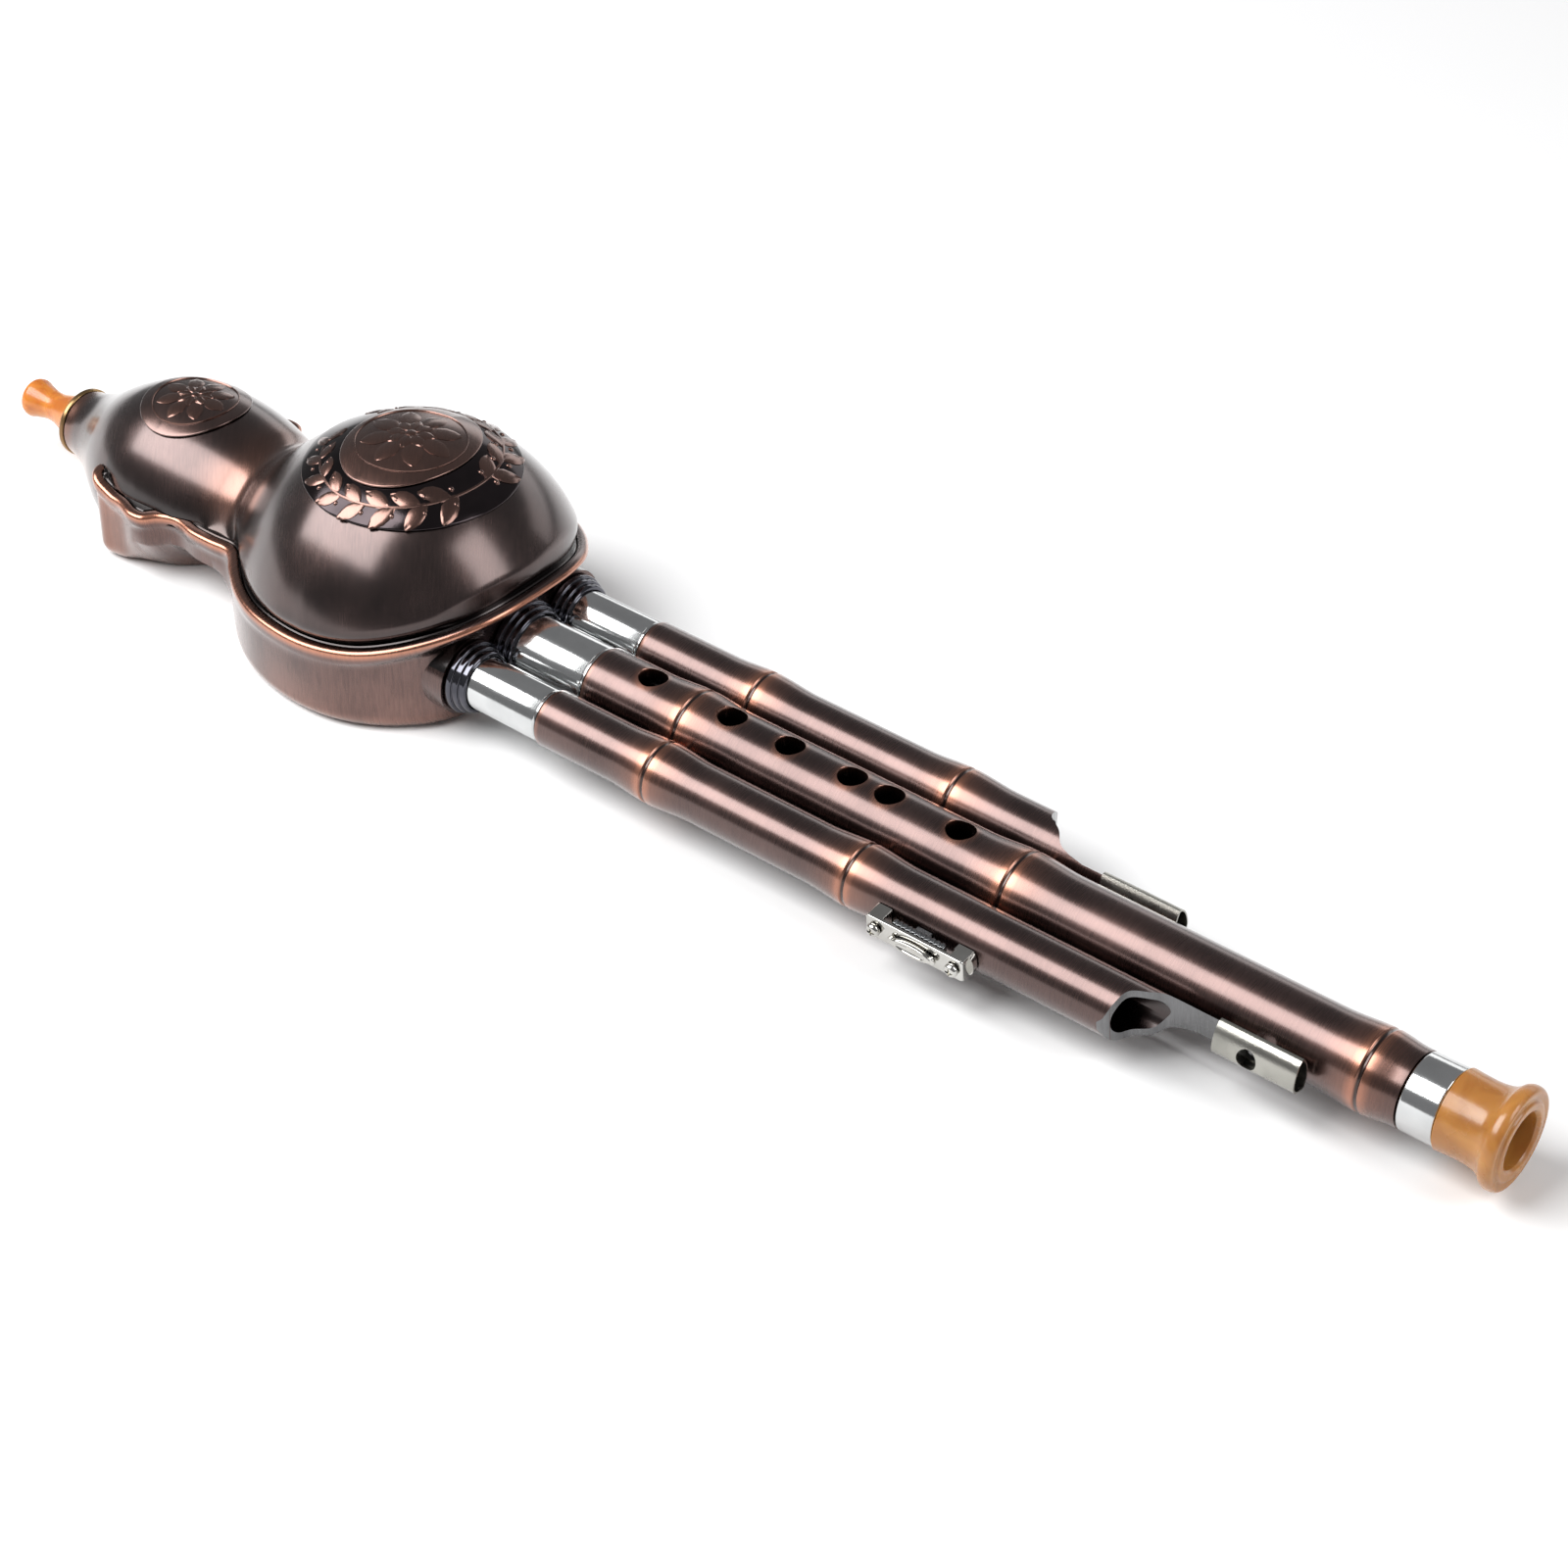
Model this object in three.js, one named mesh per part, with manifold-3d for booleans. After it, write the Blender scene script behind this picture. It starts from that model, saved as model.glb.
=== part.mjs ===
// Hulusi: a gourd-shaped wind chest with one melody pipe and two drone pipes, each blown through a free reed.
// Millimetres, +Z up. The pipes lie along X, bell towards +X, and the playing face looks up.
// Every builder works in the pipe frame: x = 0 where the copper of the pipes begins, z = 0 on the pipes' axes.
// The exported group moves that frame so that the origin lies under the middle of the instrument.
import * as THREE from "three";
import { mergeVertices } from "three/addons/utils/BufferGeometryUtils.js";
import Module from "manifold-3d";

const wasm = await Module();
wasm.setup();

// Clearances and the overrun of every cut.
const seatGap = 0.3;
const slideGap = 0.25;
const overrun = 2;
const weld = 1e-4;

// Melody pipe.
const mainRadius = 8.65;
const mainBore = 6.2;
const mainLength = 212;
const mainTenonRadius = 7.4;
const mainFerruleRadius = 8.2;
const fingerHoleRadius = 3.3;
const thumbHoleRadius = 2.5;
const fingerHolePlaces = [14.4, 37.2, 53.4, 70.5, 80.6, 99.5];
const thumbHolePlace = 5.4;

// Drone pipes.
const droneRadius = 6.77;
const droneBore = 4.85;
const droneTenonRadius = 5.5;
const droneFerruleRadius = 6.3;
const droneSpacing = 17.14;
const rightDroneLength = 189.3;
const leftDroneLength = 144.3;
const scarfLength = 37.8;
const rightScarfTilt = THREE.MathUtils.degToRad(9);
const leftScarfTilt = THREE.MathUtils.degToRad(3);
const soundHoleRadius = 1.3;
const tongueThickness = 1;
const sleeveLength = 19.5;
const sleeveWall = 0.4;
const sleeveBulge = 1.5;
const sleeveSlope = 0.3;
const sleeveHoleRadius = 2.3;
const sleeveHoleShare = 0.42;
const sleeveOverhang = 3.5;

// Bamboo-like nodes on the pipes.
const nodeSwell = 0.5;
const nodeReach = 11;
const nodeGroove = 0.45;
const nodeGrooveHalf = 0.6;
const mainNodePlaces = [27, 115.6, 203.3];
const rightNodePlaces = [31.4, 86.8];
const leftNodePlaces = [32.3, 87.2];

// Sockets of the gourd.
const ferruleShown = 20.5;
const tenonLength = 44;
const collarDepth = 5;
const rimReach = 6.8;
const collarStep = 1.2;
const collarSleeve = 0.6;
const collarSleeveLength = 10;
const sealLength = 2.2;
const bossWall = 2;
const bossDepth = 12.5;

// Gourd.
const trayLength = 124.1;
const trayHalfWidth = 39.8;
const floorDepth = 13;
const rimHeight = 6.5;
const rimRise = 10.5;
const earRise = 3;
const rimFlat = 2.5;
const rimRound = 1.2;
const rimFlare = 6;
const wall = 2.4;
const ledgeDepth = 2.7;
const ledgeWidth = 2.6;
const shellWall = 2.2;
const lipFlange = 0.9;
const footHeight = 5;
const domeTop = 41.5;
const domeAxis = 1.5;
const bulbRadius = 23.5;
const neckAxis = 0.6;
const neckLength = 28.6;
const neckOverlap = 2.6;
const neckBore = 6.2;
const neckSides = 40;
const neckRimLength = 1.4;
const neckRimStep = 0.3;
const mouthpieceShown = 20;
const mouthpieceTenon = 13;
const mouthpieceLip = 4.9;
const mouthpieceWaist = 3.7;
const mouthpieceRoot = 6.8;
const mouthBore = 2;
const mouthSides = 24;

// Medallions on the front shell.
const medallionRise = 0.6;
const upperMedallionRise = 0.35;
const lowerMedallionRadius = 24.8;
const upperMedallionRadius = 13.1;
const bossRise = 0.8;
const bossHalfLength = 14.2;
const bossHalfWidth = 17.2;

// Bell and its ring.
const ringLength = 8.2;
const bellLength = 15;
const bellLip = 11.45;
const bellTenonWall = 1;
const bellTenonLength = 10;

// Drone valves: a plate on two posts, with a ribbed bar between them that a thumbpiece moves.
const rightValveTilt = THREE.MathUtils.degToRad(6.5);
const leftValveTilt = THREE.MathUtils.degToRad(20);
const rightValvePlace = 108.7;
const leftValvePlace = 58.5;
const valveWidth = 5.6;
const valvePlate = 1;
const valvePost = 3;
const screwSpacing = 20.2;
const screwEdge = 2.4;
const valveTab = 1;
const valveTabHeight = 1.6;
const barLength = 13.2;
const barThickness = 1.3;
const sliderTravel = 3.4;
const stemLength = 5.6;
const stemWidth = 1.6;
const thumbpieceLength = 12.2;
const thumbpieceWidth = 3.2;
const thumbpieceHeight = 1.2;
const studRadius = 0.9;
const padLength = 3.6;
const padWidth = 4;
const screwRadius = 0.8;
const screwHeadRadius = 1.6;
const screwHeadHeight = 1.4;

// Reeds.
const mainReedLength = 34;
const droneReedLength = 30;
const reedWall = 0.7;
const reedPlate = 0.4;
const reedSlit = 0.25;
const reedSides = 12;

// Places along X worked out from the sizes above.
const plateFront = -ferruleShown;
const wallFace = plateFront - collarDepth;
const trayEnd = wallFace + rimReach;
const trayStart = trayEnd - trayLength;
const neckEnd = trayStart + neckOverlap - neckLength;
const mouthEnd = neckEnd - mouthpieceShown;
const bellStart = mainLength + ringLength + 2 * seatGap;
const bellEnd = bellStart + bellLength;
const tenonEnd = -tenonLength;
const neckJoint = trayStart + neckOverlap;
const neckPassage = neckJoint + 3 * neckOverlap;

// Shares of the tray's length and half-width, from the neck end to the pipe end, for three outlines of one half.
const rimShares = [
  [0.019, 0], [0.015, 0.226], [0.004, 0.407], [0, 0.533], [0.023, 0.618], [0.058, 0.631],
  [0.099, 0.646], [0.139, 0.688], [0.171, 0.676], [0.193, 0.595], [0.224, 0.56], [0.276, 0.593],
  [0.329, 0.595], [0.373, 0.59], [0.417, 0.704], [0.474, 0.837], [0.538, 0.935], [0.611, 0.985],
  [0.687, 1], [0.756, 0.975], [0.82, 0.915], [0.877, 0.804], [0.927, 0.663], [0.97, 0.49],
  [0.994, 0.276], [1, 0],
];
const wallShares = [
  [0.019, 0], [0.018, 0.226], [0.008, 0.405], [0.005, 0.528], [0.026, 0.601], [0.06, 0.608],
  [0.099, 0.618], [0.139, 0.658], [0.169, 0.646], [0.195, 0.565], [0.226, 0.53], [0.276, 0.56],
  [0.329, 0.565], [0.371, 0.573], [0.415, 0.686], [0.472, 0.819], [0.537, 0.917], [0.611, 0.97],
  [0.687, 0.985], [0.754, 0.96], [0.814, 0.889], [0.865, 0.769], [0.911, 0.613], [0.935, 0.422],
  [0.944, 0.226], [0.945, 0],
];
const floorShares = [
  [0.027, 0], [0.027, 0.201], [0.021, 0.352], [0.015, 0.462], [0.034, 0.535], [0.066, 0.528],
  [0.097, 0.477], [0.131, 0.452], [0.163, 0.407], [0.197, 0.317], [0.232, 0.241], [0.272, 0.241],
  [0.309, 0.317], [0.348, 0.452], [0.393, 0.593], [0.458, 0.734], [0.527, 0.844], [0.606, 0.91],
  [0.683, 0.925], [0.753, 0.889], [0.812, 0.804], [0.861, 0.688], [0.898, 0.543], [0.918, 0.367],
  [0.926, 0.191], [0.928, 0],
];
const loopHalfPoints = 28;

// Crown of the front shell over its middle line: share of the tray's length, share of the dome's height.
const crownShares = [
  [0.115, 0.581], [0.158, 0.576], [0.205, 0.559], [0.242, 0.535], [0.279, 0.504],
  [0.302, 0.480], [0.325, 0.470], [0.349, 0.489], [0.373, 0.537], [0.405, 0.622],
  [0.438, 0.706], [0.474, 0.781], [0.514, 0.855], [0.562, 0.925], [0.619, 0.978],
  [0.691, 1.000],
];
const bulbShare = crownShares[0][0];
const waistShare = crownShares[6][0];
const domeShare = crownShares[crownShares.length - 1][0];
// Neck, from its mouth to the middle of the small bulb: share of the way, share of the bulb's radius.
const neckShares = [
  [0, 0.352], [0.058, 0.369], [0.12, 0.402], [0.18, 0.443], [0.255, 0.512], [0.347, 0.615],
  [0.417, 0.697], [0.513, 0.795], [0.617, 0.881], [0.754, 0.955], [0.872, 0.988], [1, 1],
];

const copper = new THREE.MeshStandardMaterial({ color: 0x6b4238, roughness: 0.35, metalness: 1 });
const darkCopper = new THREE.MeshStandardMaterial({ color: 0x4a302c, roughness: 0.28, metalness: 1 });
const blackChrome = new THREE.MeshStandardMaterial({ color: 0x25252a, roughness: 0.12, metalness: 1 });
const chrome = new THREE.MeshStandardMaterial({ color: 0xd8d8da, roughness: 0.08, metalness: 1 });
const nickel = new THREE.MeshStandardMaterial({ color: 0xb9b5aa, roughness: 0.25, metalness: 1 });
const brass = new THREE.MeshStandardMaterial({ color: 0xb8924a, roughness: 0.3, metalness: 1 });
const amber = new THREE.MeshStandardMaterial({ color: 0xc26a1c, roughness: 0.2, metalness: 0 });
const goldRim = new THREE.MeshStandardMaterial({ color: 0x8a6a3a, roughness: 0.3, metalness: 1 });
const rubber = new THREE.MeshStandardMaterial({ color: 0x1c1c1c, roughness: 0.8, metalness: 0 });
const darkGrey = new THREE.MeshStandardMaterial({ color: 0x55585a, roughness: 0.5, metalness: 0.6 });
const felt = new THREE.MeshStandardMaterial({ color: 0x3a3a3c, roughness: 0.95, metalness: 0 });

// A closed triangle mesh as a solid, turned the right way out and without slivers of no area.
function solidFrom(geometry) {
  const bare = geometry.clone();
  bare.deleteAttribute("normal");
  bare.deleteAttribute("uv");
  const merged = mergeVertices(bare, weld);
  const place = merged.attributes.position;
  const corners = merged.index.array;
  const kept = [];
  const a = new THREE.Vector3();
  const b = new THREE.Vector3();
  const c = new THREE.Vector3();
  let volume = 0;
  for (let i = 0; i < corners.length; i += 3) {
    const [p, q, r] = [corners[i], corners[i + 1], corners[i + 2]];
    if (p === q || q === r || r === p) continue;
    a.fromBufferAttribute(place, p);
    b.fromBufferAttribute(place, q);
    c.fromBufferAttribute(place, r);
    volume += a.dot(b.cross(c));
    kept.push(p, q, r);
  }
  if (volume < 0) kept.reverse();
  return new wasm.Manifold(
    new wasm.Mesh({ numProp: 3, vertProperties: place.array, triVerts: new Uint32Array(kept) }),
  );
}

// A solid back as a mesh with flat-shaded normals.
function meshFrom(solid, name, material) {
  const made = solid.getMesh();
  const geometry = new THREE.BufferGeometry();
  const places = new Float32Array(made.numVert * 3);
  for (let i = 0; i < made.numVert; i++) {
    const start = i * made.numProp;
    places.set(made.vertProperties.subarray(start, start + 3), i * 3);
  }
  geometry.setAttribute("position", new THREE.BufferAttribute(places, 3));
  geometry.setIndex(new THREE.BufferAttribute(made.triVerts, 1));
  geometry.computeVertexNormals();
  const mesh = new THREE.Mesh(geometry, material);
  mesh.name = name;
  return mesh;
}

// A body of revolution about the X axis at height y = side, from [x, radius] points. Off-axis outlines close.
function turned(points, sides, side = 0) {
  const onAxis = points[0][1] === 0 && points[points.length - 1][1] === 0;
  const outline = onAxis ? points : [...points, points[0]];
  const geometry = new THREE.LatheGeometry(
    outline.map(([x, radius]) => new THREE.Vector2(radius, x)),
    sides,
  );
  geometry.rotateZ(-Math.PI / 2);
  geometry.translate(0, side, 0);
  return solidFrom(geometry);
}

// A straight round bar along X between two places.
function bar(start, end, radius, sides, side = 0) {
  return turned([[start, 0], [start, radius], [end, radius], [end, 0]], sides, side);
}

// A straight tube along X between two places.
function tube(start, end, outer, inner, sides, side = 0) {
  return turned([[start, inner], [start, outer], [end, outer], [end, inner]], sides, side);
}

// A box from its lowest to its highest corner.
function block(low, high) {
  const geometry = new THREE.BoxGeometry(high[0] - low[0], high[1] - low[1], high[2] - low[2]);
  geometry.translate((low[0] + high[0]) / 2, (low[1] + high[1]) / 2, (low[2] + high[2]) / 2);
  return solidFrom(geometry);
}

// An upright round or oval prism between two heights.
function prism(x, y, low, high, halfLength, halfWidth, sides) {
  const geometry = new THREE.CylinderGeometry(1, 1, high - low, sides);
  geometry.rotateX(Math.PI / 2);
  geometry.scale(halfLength, halfWidth, 1);
  geometry.translate(x, y, (low + high) / 2);
  return solidFrom(geometry);
}

// The largest body of a solid that a cut has left in pieces.
function largest(solid) {
  return solid.decompose().reduce((kept, body) => (body.volume() > kept.volume() ? body : kept));
}

// A closed skin through rings of equally many points. The first and last ring fold flat onto a middle line.
function lofted(rings) {
  const count = rings[0].length;
  const places = rings.flat().flatMap((p) => [p.x, p.y, p.z]);
  const corners = [];
  for (let j = 0; j + 1 < rings.length; j++) {
    for (let i = 0; i < count; i++) {
      const next = (i + 1) % count;
      const [p, q, r, s] = [j * count + i, j * count + next, (j + 1) * count + next, (j + 1) * count + i];
      corners.push(p, q, r, p, r, s);
    }
  }
  const geometry = new THREE.BufferGeometry();
  geometry.setAttribute("position", new THREE.Float32BufferAttribute(places, 3));
  geometry.setIndex(corners);
  return solidFrom(geometry);
}

// One outline of the gourd as a closed loop, both halves, from its table of shares.
function gourdLoop(shares) {
  const half = new THREE.CatmullRomCurve3(
    shares.map(([x, y]) => new THREE.Vector3(trayStart + x * trayLength, y * trayHalfWidth, 0)),
  ).getPoints(loopHalfPoints - 1);
  half[0].y = 0;
  half[half.length - 1].y = 0;
  const mirrored = half
    .slice(1, -1)
    .reverse()
    .map((p) => new THREE.Vector3(p.x, -p.y, 0));
  return [...half, ...mirrored];
}

// Outward directions of a loop, in plan.
function loopNormals(loop) {
  const count = loop.length;
  return loop.map((p, i) => {
    const along = loop[(i + 1) % count].clone().sub(loop[(i + count - 1) % count]).normalize();
    return new THREE.Vector3(-along.y, along.x, 0);
  });
}

const rimLoop = gourdLoop(rimShares);
const wallLoop = gourdLoop(wallShares);
const floorLoop = gourdLoop(floorShares);
const rimNormals = loopNormals(rimLoop);
const wallNormals = loopNormals(wallLoop);
const bulbX = trayStart + bulbShare * trayLength;
const waistX = trayStart + waistShare * trayLength;
const domeX = trayStart + domeShare * trayLength;

// Height of the tray's rim, which climbs towards the ears at the neck and over the sockets at the pipe end.
function rimTop(x) {
  const share = (x - trayStart) / trayLength;
  const earEndShare = 0.08;
  const riseStartShare = 0.55;
  const risePower = 2.7;
  const rise = THREE.MathUtils.clamp((share - riseStartShare) / (1 - riseStartShare), 0, 1);
  const ear = 1 - THREE.MathUtils.smoothstep(share, 0, earEndShare);
  return rimHeight + rimRise * rise ** risePower + earRise * ear;
}

// Back shell: tray with a rounded floor edge, a flared rim, a ledge for the front shell and bossed sockets.
function backShellSolid() {
  const turns = [0.33, 0.67, 1];
  const roundShare = 0.3;
  const riseShare = 1.3;
  const slopeStart = 4;
  const slopeEnd = 10;
  const flareShares = [[0, 1], [0.25, 0.73], [0.8, 0.5]];
  const count = rimLoop.length;
  const indices = rimLoop.map((_, i) => i);
  const tops = rimLoop.map((p) => rimTop(p.x));
  const runs = indices.map((i) => wallLoop[i].distanceTo(floorLoop[i]));
  const rises = indices.map((i) => Math.min(runs[i] * riseShare, tops[i] + floorDepth - rimFlare - wall));
  const around = (place) => indices.map(place);
  const offRim = (inset, drop) =>
    around((i) => rimLoop[i].clone().addScaledVector(rimNormals[i], -inset).setZ(tops[i] - drop));
  const flared = (share, dropShare) =>
    around((i) => wallLoop[i].clone().lerp(rimLoop[i], share).setZ(tops[i] - dropShare * rimFlare));
  // The floor's edge is round where the wall stands close to it, and a plain slope where the wall leans.
  const edge = (i, turn, inset) => {
    const angle = (turn * Math.PI) / 2;
    const slope = THREE.MathUtils.clamp((runs[i] - slopeStart) / (slopeEnd - slopeStart), 0, 1);
    const out = THREE.MathUtils.lerp(Math.sin(angle), turn, slope);
    const up = THREE.MathUtils.lerp(1 - Math.cos(angle), turn, slope);
    return floorLoop[i]
      .clone()
      .lerp(wallLoop[i], out)
      .addScaledVector(wallNormals[i], -inset * out)
      .setZ(up * rises[i] + inset * (1 - up) - floorDepth);
  };
  const spine = (z) =>
    around((i) => {
      const middle = THREE.MathUtils.clamp(floorLoop[i].x, floorLoop[0].x, floorLoop[count / 2].x);
      return new THREE.Vector3(middle, 0, z);
    });
  const rings = [
    spine(-floorDepth),
    around((i) => edge(i, 0, 0)),
    ...turns.map((turn) => around((i) => edge(i, turn, 0))),
    ...flareShares.map(([share, drop]) => flared(share, drop)),
    offRim(0, rimRound),
    offRim(rimRound * roundShare, rimRound * roundShare),
    offRim(rimRound, 0),
    offRim(rimFlat, 0),
    offRim(rimFlat, ledgeDepth),
    offRim(rimFlat + ledgeWidth, ledgeDepth),
    offRim(rimFlat + ledgeWidth, ledgeDepth + rimRound),
    around((i) => wallLoop[i].clone().addScaledVector(wallNormals[i], -wall).setZ(tops[i] - rimFlare - wall)),
    ...[...turns].reverse().map((turn) => around((i) => edge(i, turn, wall))),
    around((i) => edge(i, 0, wall)),
    spine(wall - floorDepth),
  ];
  let shell = lofted(rings);
  for (const pipe of pipes) {
    shell = shell.add(bar(wallFace - bossDepth, wallFace, pipe.socket + bossWall, pipe.sides, pipe.side));
  }
  for (const pipe of pipes) {
    const clear = pipe.flange + seatGap;
    const bore = bar(wallFace - bossDepth - overrun, wallFace + overrun, pipe.socket, pipe.sides, pipe.side);
    shell = shell
      .subtract(bar(wallFace, wallFace + collarDepth + rimReach, clear, pipe.sides, pipe.side))
      .subtract(bore);
  }
  const neckCut = neckSolid(seatGap, neckEnd, neckJoint + seatGap);
  const bulbCut = neckSolid(seatGap, neckEnd, waistX).intersect(above(seamHeight - seatGap));
  const passage = neckSolid(-shellWall, neckEnd, neckPassage).intersect(above(wall - floorDepth));
  return largest(shell.subtract(neckCut).subtract(bulbCut).subtract(passage));
}

// Everything of the gourd above a height.
function above(low) {
  return block([mouthEnd, -2 * trayHalfWidth, low], [bellStart, 2 * trayHalfWidth, 2 * domeTop]);
}
const seamHeight = rimHeight - ledgeDepth + seatGap;

// Value at a place along a row of [x, value] points.
function valueAt(points, x) {
  const held = THREE.MathUtils.clamp(x, points[0][0], points[points.length - 1][0]);
  const i = Math.max(1, points.findIndex((p) => p[0] >= held));
  const [a, b] = [points[i - 1], points[i]];
  return THREE.MathUtils.lerp(a[1], b[1], (held - a[0]) / (b[0] - a[0]));
}

// Crown height of the front shell over a place on its middle line.
const crownProfile = new THREE.CatmullRomCurve3(
  crownShares.map(([x, z]) => new THREE.Vector3(trayStart + x * trayLength, z * domeTop, 0)),
)
  .getPoints(3 * crownShares.length)
  .map((p) => [p.x, p.y]);

// Neck and small bulb as a turned body, grown by an offset, between two places.
const neckProfile = [
  ...neckShares.map(([x, radius]) => [neckEnd + x * (bulbX - neckEnd), radius * bulbRadius]),
  ...crownProfile.filter(([x]) => x > bulbX && x <= waistX).map(([x, z]) => [x, z - neckAxis]),
];
function neckSolid(offset, start, end) {
  const inside = neckProfile.filter(([x]) => x > start + weld && x < end - weld);
  const grown = [[start, valueAt(neckProfile, start)], ...inside, [end, valueAt(neckProfile, end)]];
  const profile = [[start, 0], ...grown.map(([x, radius]) => [x, radius + offset]), [end, 0]];
  return turned(profile, neckSides).translate([0, 0, neckAxis]);
}

// How far the front shell's sections have gone over from the small bulb (0) to the dome (1).
function domeBlend(x) {
  const startShare = 0.28;
  const endShare = 0.48;
  return THREE.MathUtils.smoothstep((x - trayStart) / trayLength, startShare, endShare);
}

const flareSteps = 3;
const outerSteps = 6;
const innerSteps = 4;
const lipInset = rimFlat + seatGap;
const lipThickness = ledgeDepth - seatGap;

// What one section of the front shell needs: its lip, its middle point, its round's radius and height.
function sectionSizes(i) {
  const lip = rimLoop[i].clone().addScaledVector(rimNormals[i], -lipInset);
  const top = rimTop(rimLoop[i].x);
  const middleX = THREE.MathUtils.clamp(lip.x, bulbX, domeX);
  const reach = Math.hypot(lip.x - middleX, lip.y);
  const out = new THREE.Vector3(lip.x - middleX, lip.y, 0).divideScalar(reach);
  const blend = domeBlend(middleX);
  const axis = THREE.MathUtils.lerp(neckAxis, domeAxis, blend);
  // At the small bulb the sections stay just inside the turned body.
  const radius = valueAt(crownProfile, middleX) - axis - seatGap * (1 - blend);
  return { top, middleX, reach, out, axis, radius };
}

// Round part of a section as [reach, z] points, from its foot up to just short of the crown.
function archPoints(m, offset, steps) {
  const radius = m.radius + offset;
  const turn = Math.acos((m.top + footHeight - m.axis) / radius);
  const angles = Array.from({ length: steps }, (_, k) => turn * (1 - k / steps));
  return angles.map((angle) => [radius * Math.sin(angle), m.axis + radius * Math.cos(angle)]);
}

// Foot of a section, from the lip to the round: flared where the lip lies outside it, tucked in elsewhere.
function footPoints(m, offset) {
  const [reach, foot] = archPoints(m, offset, 1)[0];
  const start = m.reach - lipFlange;
  const lean = ((foot - m.axis) / reach) * footHeight;
  const tuck = THREE.MathUtils.smoothstep(reach - start, -2 * lipFlange, lipFlange);
  const bend = THREE.MathUtils.lerp(Math.min(reach + lean, start), reach + lean / 2, tuck);
  const curve = new THREE.QuadraticBezierCurve(
    new THREE.Vector2(start, m.top),
    new THREE.Vector2(bend, m.top + (tuck * footHeight) / 2),
    new THREE.Vector2(reach, foot),
  );
  return [[m.reach, m.top], ...curve.getPoints(flareSteps).slice(0, -1).map((p) => [p.x, p.y])];
}

// Domes of the front shell as a filled body, with its lip.
function domeSolid(offset) {
  const sizes = rimLoop.map((_, i) => sectionSizes(i));
  const put = (m, reach, z) => new THREE.Vector3(m.middleX, 0, z).addScaledVector(m.out, reach);
  const sections = sizes.map((m) => [...footPoints(m, offset), ...archPoints(m, offset, outerSteps)]);
  const rings = [
    sizes.map((m) => put(m, 0, m.top - lipThickness)),
    sizes.map((m) => put(m, m.reach, m.top - lipThickness)),
  ];
  for (let j = 0; j < sections[0].length; j++) {
    rings.push(sizes.map((m, i) => put(m, sections[i][j][0], sections[i][j][1])));
  }
  rings.push(sizes.map((m) => put(m, 0, m.axis + m.radius + offset)));
  return lofted(rings);
}

// Hollow of the front shell's domes, open downwards.
function domeHollow() {
  const sizes = rimLoop.map((_, i) => sectionSizes(i));
  const put = (m, reach, z) => new THREE.Vector3(m.middleX, 0, z).addScaledVector(m.out, reach);
  const arches = sizes.map((m) => archPoints(m, -shellWall, innerSteps));
  const opening = (m) => m.reach - ledgeWidth - seatGap;
  const rings = [
    sizes.map((m) => put(m, 0, -floorDepth)),
    sizes.map((m) => put(m, opening(m), -floorDepth)),
    sizes.map((m) => put(m, opening(m), m.top - lipThickness)),
  ];
  for (let j = 0; j < innerSteps; j++) {
    rings.push(sizes.map((m, i) => put(m, arches[i][j][0], arches[i][j][1])));
  }
  rings.push(sizes.map((m) => put(m, 0, m.axis + m.radius - shellWall)));
  return lofted(rings);
}

// Outside of the front shell above the seam, grown by an offset.
function frontOutside(offset) {
  return domeSolid(offset).add(neckSolid(offset, neckEnd, waistX).intersect(above(seamHeight)));
}

// Front shell: two domes, a full-round neck and the lip that sits on the tray's ledge.
function frontShellSolid() {
  const bottom = seatGap - floorDepth;
  const boreEnd = neckEnd + mouthpieceTenon + overrun;
  const neck = neckSolid(0, neckEnd, neckJoint).intersect(above(bottom));
  const hollow = neckSolid(-shellWall, boreEnd, waistX).intersect(above(bottom + shellWall));
  const bore = bar(neckEnd - overrun, boreEnd + overrun, neckBore, mouthSides);
  return frontOutside(0)
    .add(neck)
    .subtract(domeHollow())
    .subtract(hollow)
    .subtract(bore.translate([0, 0, neckAxis]));
}

// A medallion that follows the front shell's surface, cut to an oval in plan.
function medallionSolid(x, halfLength, halfWidth, low, high) {
  const plan = prism(x, 0, rimHeight, 2 * domeTop, halfLength, halfWidth, 36);
  return frontOutside(high).subtract(frontOutside(low)).intersect(plan);
}

// One pipe's sizes, with those of its socket worked out from its ferrule.
function pipeSizes(sizes) {
  const collarBore = sizes.ferrule + slideGap;
  const socket = collarBore + collarSleeve + seatGap;
  return { ...sizes, collarBore, socket, flange: sizes.ferrule + 2 * collarStep };
}
const droneSizes = {
  radius: droneRadius,
  bore: droneBore,
  tenon: droneTenonRadius,
  ferrule: droneFerruleRadius,
  reed: droneReedLength,
  sides: 20,
};

const pipes = [
  pipeSizes({
    name: "main",
    side: 0,
    radius: mainRadius,
    bore: mainBore,
    length: mainLength,
    tenon: mainTenonRadius,
    ferrule: mainFerruleRadius,
    nodes: mainNodePlaces,
    reed: mainReedLength,
    sides: 28,
  }),
  pipeSizes({
    ...droneSizes,
    name: "right",
    side: -droneSpacing,
    length: rightDroneLength,
    nodes: rightNodePlaces,
    scarfTurn: Math.PI + rightScarfTilt,
    valveTurn: Math.PI + rightValveTilt,
    valvePlace: rightValvePlace,
  }),
  pipeSizes({
    ...droneSizes,
    name: "left",
    side: droneSpacing,
    length: leftDroneLength,
    nodes: leftNodePlaces,
    scarfTurn: -leftScarfTilt,
    valveTurn: -leftValveTilt,
    valvePlace: leftValvePlace,
  }),
];
const [mainPipe, ...drones] = pipes;

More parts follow.
